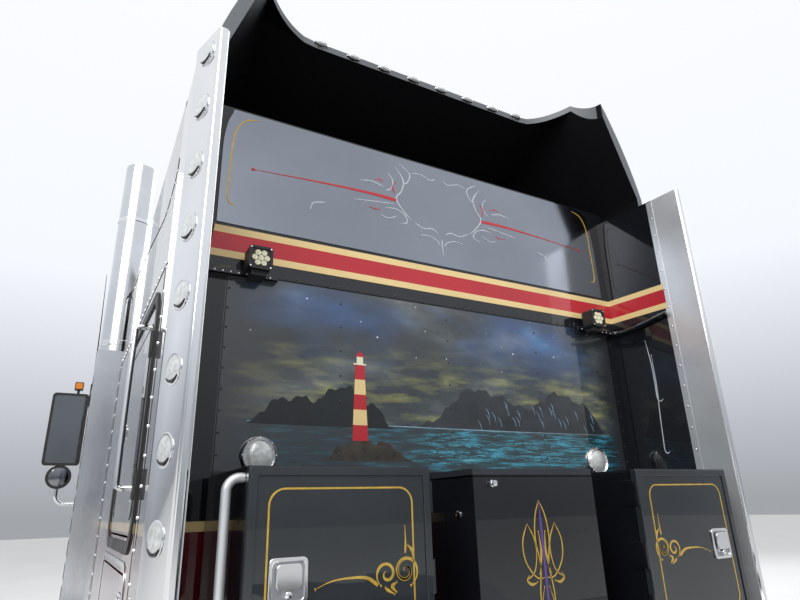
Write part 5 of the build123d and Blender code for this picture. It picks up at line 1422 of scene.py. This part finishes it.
def grille_mesh():
    low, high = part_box("grille")
    mesh, wires = Pile(), Pile()
    outline = rounded(low.x + 0.050, low.z + 0.050, high.x - 0.050, high.z - 0.050, 0.060)
    mesh.prism(outline, front_plane(3.992), 0.0, 0.002)
    mesh.make("grille_backing", "gap", "hood_body", slot="trim")
    z = low.z + 0.085
    while z < high.z - 0.080:
        wires.tube([(low.x + 0.056, 4.012, z), (high.x - 0.056, 4.012, z)], 0.0035, 6)
        z += 0.026
    wires.make("grille_wires", "stack", "hood_body")


def front_lamps():
    chrome, lens, roof, turn = Pile(), Pile(), Pile(), Pile()
    for sign in (-1, 1):
        for x in HEADLAMP_XS:
            spot = (sign * x, HEADLAMP_Y, HEADLAMP_Z)
            chrome.lathe(BEZEL, spot, FORWARD, 32)
            lens.lathe(HEADLAMP, spot, FORWARD, 32)
        x = sign * TURN_LAMP_X
        turn.prism(rounded(x - 0.055, 1.130, x + 0.055, 1.200, 0.020), front_plane(4.060), 0.0, 0.020)
    chrome.make("headlamp_bezels", "chrome", "hood_body")
    lens.make("headlamp_lenses", "lens", "hood_body")
    for k in range(-2, 3):
        roof.lathe(ROOF_LAMP, (0.330 * k, 1.765, 2.620), FORWARD, 20)
    roof.make("roof_lamp_lenses", "amber")
    turn.make("turn_lamps", "amber", "hood_body", bevel=0.004)


def on_screen(x, t, lift):
    """A place over the windscreen: across it, share of its height, lift off the glass."""
    return (x, 2.275 - 0.350 * t + 0.8944 * lift, 1.800 + 0.700 * t + 0.4472 * lift)


def hood_dress():
    strip, latch, wiper = Pile(), Pile(), Pile()
    strip.tube([(0, 2.300, 1.9005), (0, 3.965, 1.6425)], 0.0075, 12)
    for sign in (-1, 1):
        for k in range(6):
            y = 2.78 + 0.055 * k
            x = sign * (0.700 - 0.270 * ((y - 2.290) / 1.685) + 0.001)
            strip.tube([(x, y, 1.42), (x, y + 0.018, 1.60)], 0.0055, 8)
        for z in (1.30, 1.62):
            latch.tube([(sign * 0.704, 2.315, z - 0.030), (sign * 0.704, 2.315, z + 0.030)], 0.010, 12)
            latch.prism(
                rounded(2.325, z - 0.018, 2.400, z + 0.018, 0.010), side_plane(sign, 0.694), 0.0, 0.012
            )
        for radius, rod in (WIPER_ARM, WIPER_BLADE):
            wiper.tube([on_screen(sign * x, t, lift) for x, t, lift in rod], radius, 8)
    strip.make("hood_strips", "chrome", "hood_body")
    latch.make("hood_latches", "chrome", "hood_body")
    wiper.make("wipers", "plastic")


grille_mesh()
front_lamps()
hood_dress()


# Stern: tail lenses, mud flaps; tanks, steps, stack guards with painted shade in their slots, and air
# cleaners
TAIL_LENS = [(0.046, -0.004), (0.046, 0.0002), (0.030, 0.0003), (0.0, 0.0004)]
TANK_CAP = [(0.052, -0.006), (0.052, 0.006), (0.044, 0.008), (0.044, 0.024), (0.030, 0.028), (0.0, 0.029)]
CLEANER_TOP = [(0.1845, -0.001), (0.1845, 0.004), (0.165, 0.020), (0.10, 0.032), (0.0, 0.036)]
TANK_BAND = [(0.3005, -0.006), (0.3035, -0.003), (0.3035, 0.003), (0.3005, 0.006)]
CLEANER_BAND = [(0.1850, -0.012), (0.1880, -0.009), (0.1880, 0.009), (0.1850, 0.012)]
STACK_BAND = [(0.1002, -0.016), (0.1032, -0.012), (0.1032, 0.012), (0.1002, 0.016)]
TANK_X, TANK_Z, TANK_RADIUS, CAP_SLANT = 0.890, 0.680, 0.300, math.radians(38)
CLEANER_X, CLEANER_Y, STACK_X, STACK_Y = 0.905, 2.490, 1.228, 1.045
TREADS = 5


def stern():
    lens, flaps, weights = Pile(), Pile(), Pile()
    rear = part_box("tail_bar")[0].y
    for sign in (-1, 1):
        for x in (0.620, 0.790, 0.960):
            lens.lathe(TAIL_LENS, (sign * x, rear, 0.700), REARWARD, 28)
        low, high = sorted((sign * 0.620, sign * 1.215))
        flaps.block((low, -4.2135, 0.200), (high, -4.2050, 0.740))
        weights.block((low - 0.002, -4.2145, 0.190), (high + 0.002, -4.2030, 0.232))
        weights.tube([(low, -4.209, 0.742), (high, -4.209, 0.742)], 0.011, 12)
    lens.make("tail_lenses", "red_lens")
    flaps.make("mud_flaps", "plastic", bevel=0.002)
    weights.make("flap_weights", "chrome", bevel=0.001)


def side_dress():
    caps, treads, bands, slot_shades = Pile(), Pile(), Pile(), Pile()
    across, up = math.sin(CAP_SLANT), math.cos(CAP_SLANT)
    for sign in (-1, 1):
        spot = (sign * (TANK_X + TANK_RADIUS * across), 0.42, TANK_Z + TANK_RADIUS * up)
        caps.lathe(TANK_CAP, spot, (sign * across, 0, up), 28)
        for y in (0.84, -1.40):
            bands.lathe(TANK_BAND, (sign * TANK_X, y, TANK_Z), FORWARD, 64)
        for z, x0, x1 in ((0.720, 1.028, 1.144), (0.980, 0.880, 1.014)):
            for k in range(TREADS):
                x = x0 + (x1 - x0) * (k + 0.5) / TREADS
                low, high = sorted((sign * (x - 0.006), sign * (x + 0.006)))
                treads.block((low, 1.060, z), (high, 1.950, z + 0.004))
        for z in (1.150, 1.340, 1.540):
            bands.lathe(CLEANER_BAND, (sign * CLEANER_X, CLEANER_Y, z), UP, 48)
        bands.lathe(CLEANER_TOP, (sign * CLEANER_X, CLEANER_Y, 1.640), UP, 48)
        # Dark slots on the stack guards: painted shade behind the guard
        for z in [1.10 + 0.115 * row for row in range(12)]:
            for y in [0.952 + 0.032 * column for column in range(3)]:
                slot = rounded(y - 0.009, z - 0.040, y + 0.009, z + 0.040, 0.0085, 4)
                slot_shades.prism(slot, side_plane(sign, 1.338), -0.001, 0.0009)
        for z in (2.62, 3.48):
            bands.lathe(STACK_BAND, (sign * STACK_X, STACK_Y, z), UP, 40)
    caps.make("tank_caps", "chrome")
    bands.make("polished_bands", "chrome")
    treads.make("step_treads", "brushed", slot="aluminium", bevel=0.001)
    slot_shades.make("guard_slot_painted_shade", "gap", slot="trim")


stern()
side_dress()


# Seats and bunk
VOXEL, FOOT, SWELL_FRAMES = 0.010, 0.015, 20


def swell(made, cap):
    """Fills a cushion by cloth under pressure, with no point moved further than the cap."""
    scene = bpy.context.scene

    def bake():
        graph = bpy.context.evaluated_depsgraph_get()
        made.data = bpy.data.meshes.new_from_object(made.evaluated_get(graph))
        made.modifiers.clear()

    grid = made.modifiers.new("grid", "REMESH")
    grid.mode = "VOXEL"
    grid.voxel_size = VOXEL
    bake()
    rest = [v.co.copy() for v in made.data.vertices]
    lowest = min(p.z for p in rest)
    held = made.vertex_groups.new(name="held")
    held.add([i for i, p in enumerate(rest) if p.z < lowest + FOOT], 1.0, "REPLACE")
    cloth = made.modifiers.new("cloth", "CLOTH")
    cloth.settings.use_pressure = True
    cloth.settings.uniform_pressure_force = 4.0
    cloth.settings.effector_weights.gravity = 0.0
    cloth.settings.vertex_group_mass = "held"
    for number in range(1, SWELL_FRAMES + 1):
        scene.frame_set(number)
    bake()
    for vertex, start in zip(made.data.vertices, rest):
        move = vertex.co - start
        if move.length > cap:
            vertex.co = start + move * (cap / move.length)
    scene.frame_set(1)
    smoother = made.modifiers.new("round", "SUBSURF")
    smoother.levels = smoother.render_levels = 1
    bake()
    for polygon in made.data.polygons:
        polygon.use_smooth = True


SEAT_Y, SEAT_Z, SEAT_X = 1.220, 1.090, 0.480
# Outlines of a seat's parts as (y, z) offsets
SQUAB = ((0.085, 0.320), (0.440, 0.338), (0.462, 0.405), (0.090, 0.400))
BACKREST = ((-0.045, 0.415), (0.052, 0.430), (-0.052, 1.052), (-0.128, 1.052))
SEAT_BASE = ((0.010, 0.0), (0.350, 0.0), (0.400, 0.300), (0.440, 0.332), (-0.045, 0.400), (-0.030, 0.320))
# Rings of the mattress: height and growth of its outline
MATTRESS = ((1.466, 0.000), (1.470, 0.005), (1.500, 0.009), (1.560, 0.009), (1.600, 0.004), (1.620, -0.010),
            (1.632, -0.040), (1.638, -0.120), (1.640, -0.300))
BUNK_HALF = 1.130


def seats():
    across_seat = ((0, 0, 0), FORWARD, UP, (1, 0, 0))

    def cushion(offsets, x, half):
        return Pile().prism(
            [(SEAT_Y + dy, SEAT_Z + dz) for dy, dz in offsets], across_seat, x - half, x + half
        )

    for side_name, sign in SIDES:
        x = sign * SEAT_X
        for stem, offsets in (("squab_", SQUAB), ("backrest_", BACKREST)):
            made = cushion(offsets, x, 0.215).make("seat_" + stem + side_name, "fabric")
            swell(made, 0.022)
            if side_name == "left" and stem == "squab_":
                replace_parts(made, "seats")
        cushion(SEAT_BASE, x, 0.200).make("seat_base_" + side_name, "plastic", bevel=0.006)


def bunk():
    low_y, high_y = WALL_Y + 0.050, WALL_Y + 0.850
    rings = []
    for z, grow in MATTRESS:
        corner = 0.060 if grow < -0.05 else 0.035
        front = low_y + 0.002 - min(grow, 0.0)
        outline = rounded(-BUNK_HALF - grow, front, BUNK_HALF + grow, high_y + grow, corner, 5)
        rings.append([(u, v, z) for u, v in outline])
    mattress = Pile().rings(rings).make("bunk_mattress", "mattress", sharp=60)
    piping = Pile()
    edge = rounded(-BUNK_HALF, low_y + 0.004, BUNK_HALF, high_y + 0.002, 0.035, 5)
    for z in (1.488, 1.606):
        piping.tube([(u, v, z) for u, v in edge + edge[:1]], 0.006, 8)
    piping.make("bunk_piping", "fabric")


seats()
bunk()


# Floor and light
FLOOR_HALF = 60.0
HORIZON = [
    (0.0, (0.36, 0.375, 0.40)), (0.10, (0.50, 0.52, 0.56)), (0.35, (0.92, 0.95, 1.0)), (1.0, (1.0, 1.0, 1.0))
]


def stage():
    mesh = bpy.data.meshes.new("floor")
    mesh.from_pydata(
        [(sx * FLOOR_HALF, sy * FLOOR_HALF, 0) for sx, sy in ((-1, -1), (1, -1), (1, 1), (-1, 1))], [],
        [(0, 1, 2, 3)]
    )
    floor = bpy.data.objects.new("floor", mesh)
    bpy.context.scene.collection.objects.link(floor)
    mesh.materials.append(
        material("pale_floor", (0.62, 0.62, 0.61), 0.8, vary=0.04, grain=0.4, rough_vary=0.1)
    )
    world = bpy.data.worlds.new("studio")
    bpy.context.scene.world = world
    world.use_nodes = True
    tree = world.node_tree
    back = tree.nodes["Background"]
    coords = node(tree, "TexCoord")
    split = node(tree, "SeparateXYZ")
    tree.links.new(coords.outputs["Generated"], split.inputs[0])
    tree.links.new(ramp(tree, split.outputs["Z"], HORIZON), back.inputs["Color"])
    back.inputs["Strength"].default_value = 1.0
    for name, spot, target, size, power, tone in (
        ("key", (-9.0, -11.0, 14.0), (0, -0.5, 2.0), 15.0, 3000.0, (1.0, 0.98, 0.95)),
        ("fill", (10.0, 8.0, 11.0), (0, 1.0, 1.5), 12.0, 1100.0, (0.92, 0.95, 1.0)),
    ):
        data = bpy.data.lights.new(name, "AREA")
        data.size = size
        data.energy = power
        data.color = tone
        lamp = bpy.data.objects.new(name, data)
        lamp.location = spot
        lamp.rotation_euler = (Vector(target) - Vector(spot)).to_track_quat("-Z", "Y").to_euler()
        bpy.context.scene.collection.objects.link(lamp)
    bpy.context.scene.view_settings.view_transform = "Standard"


stage()
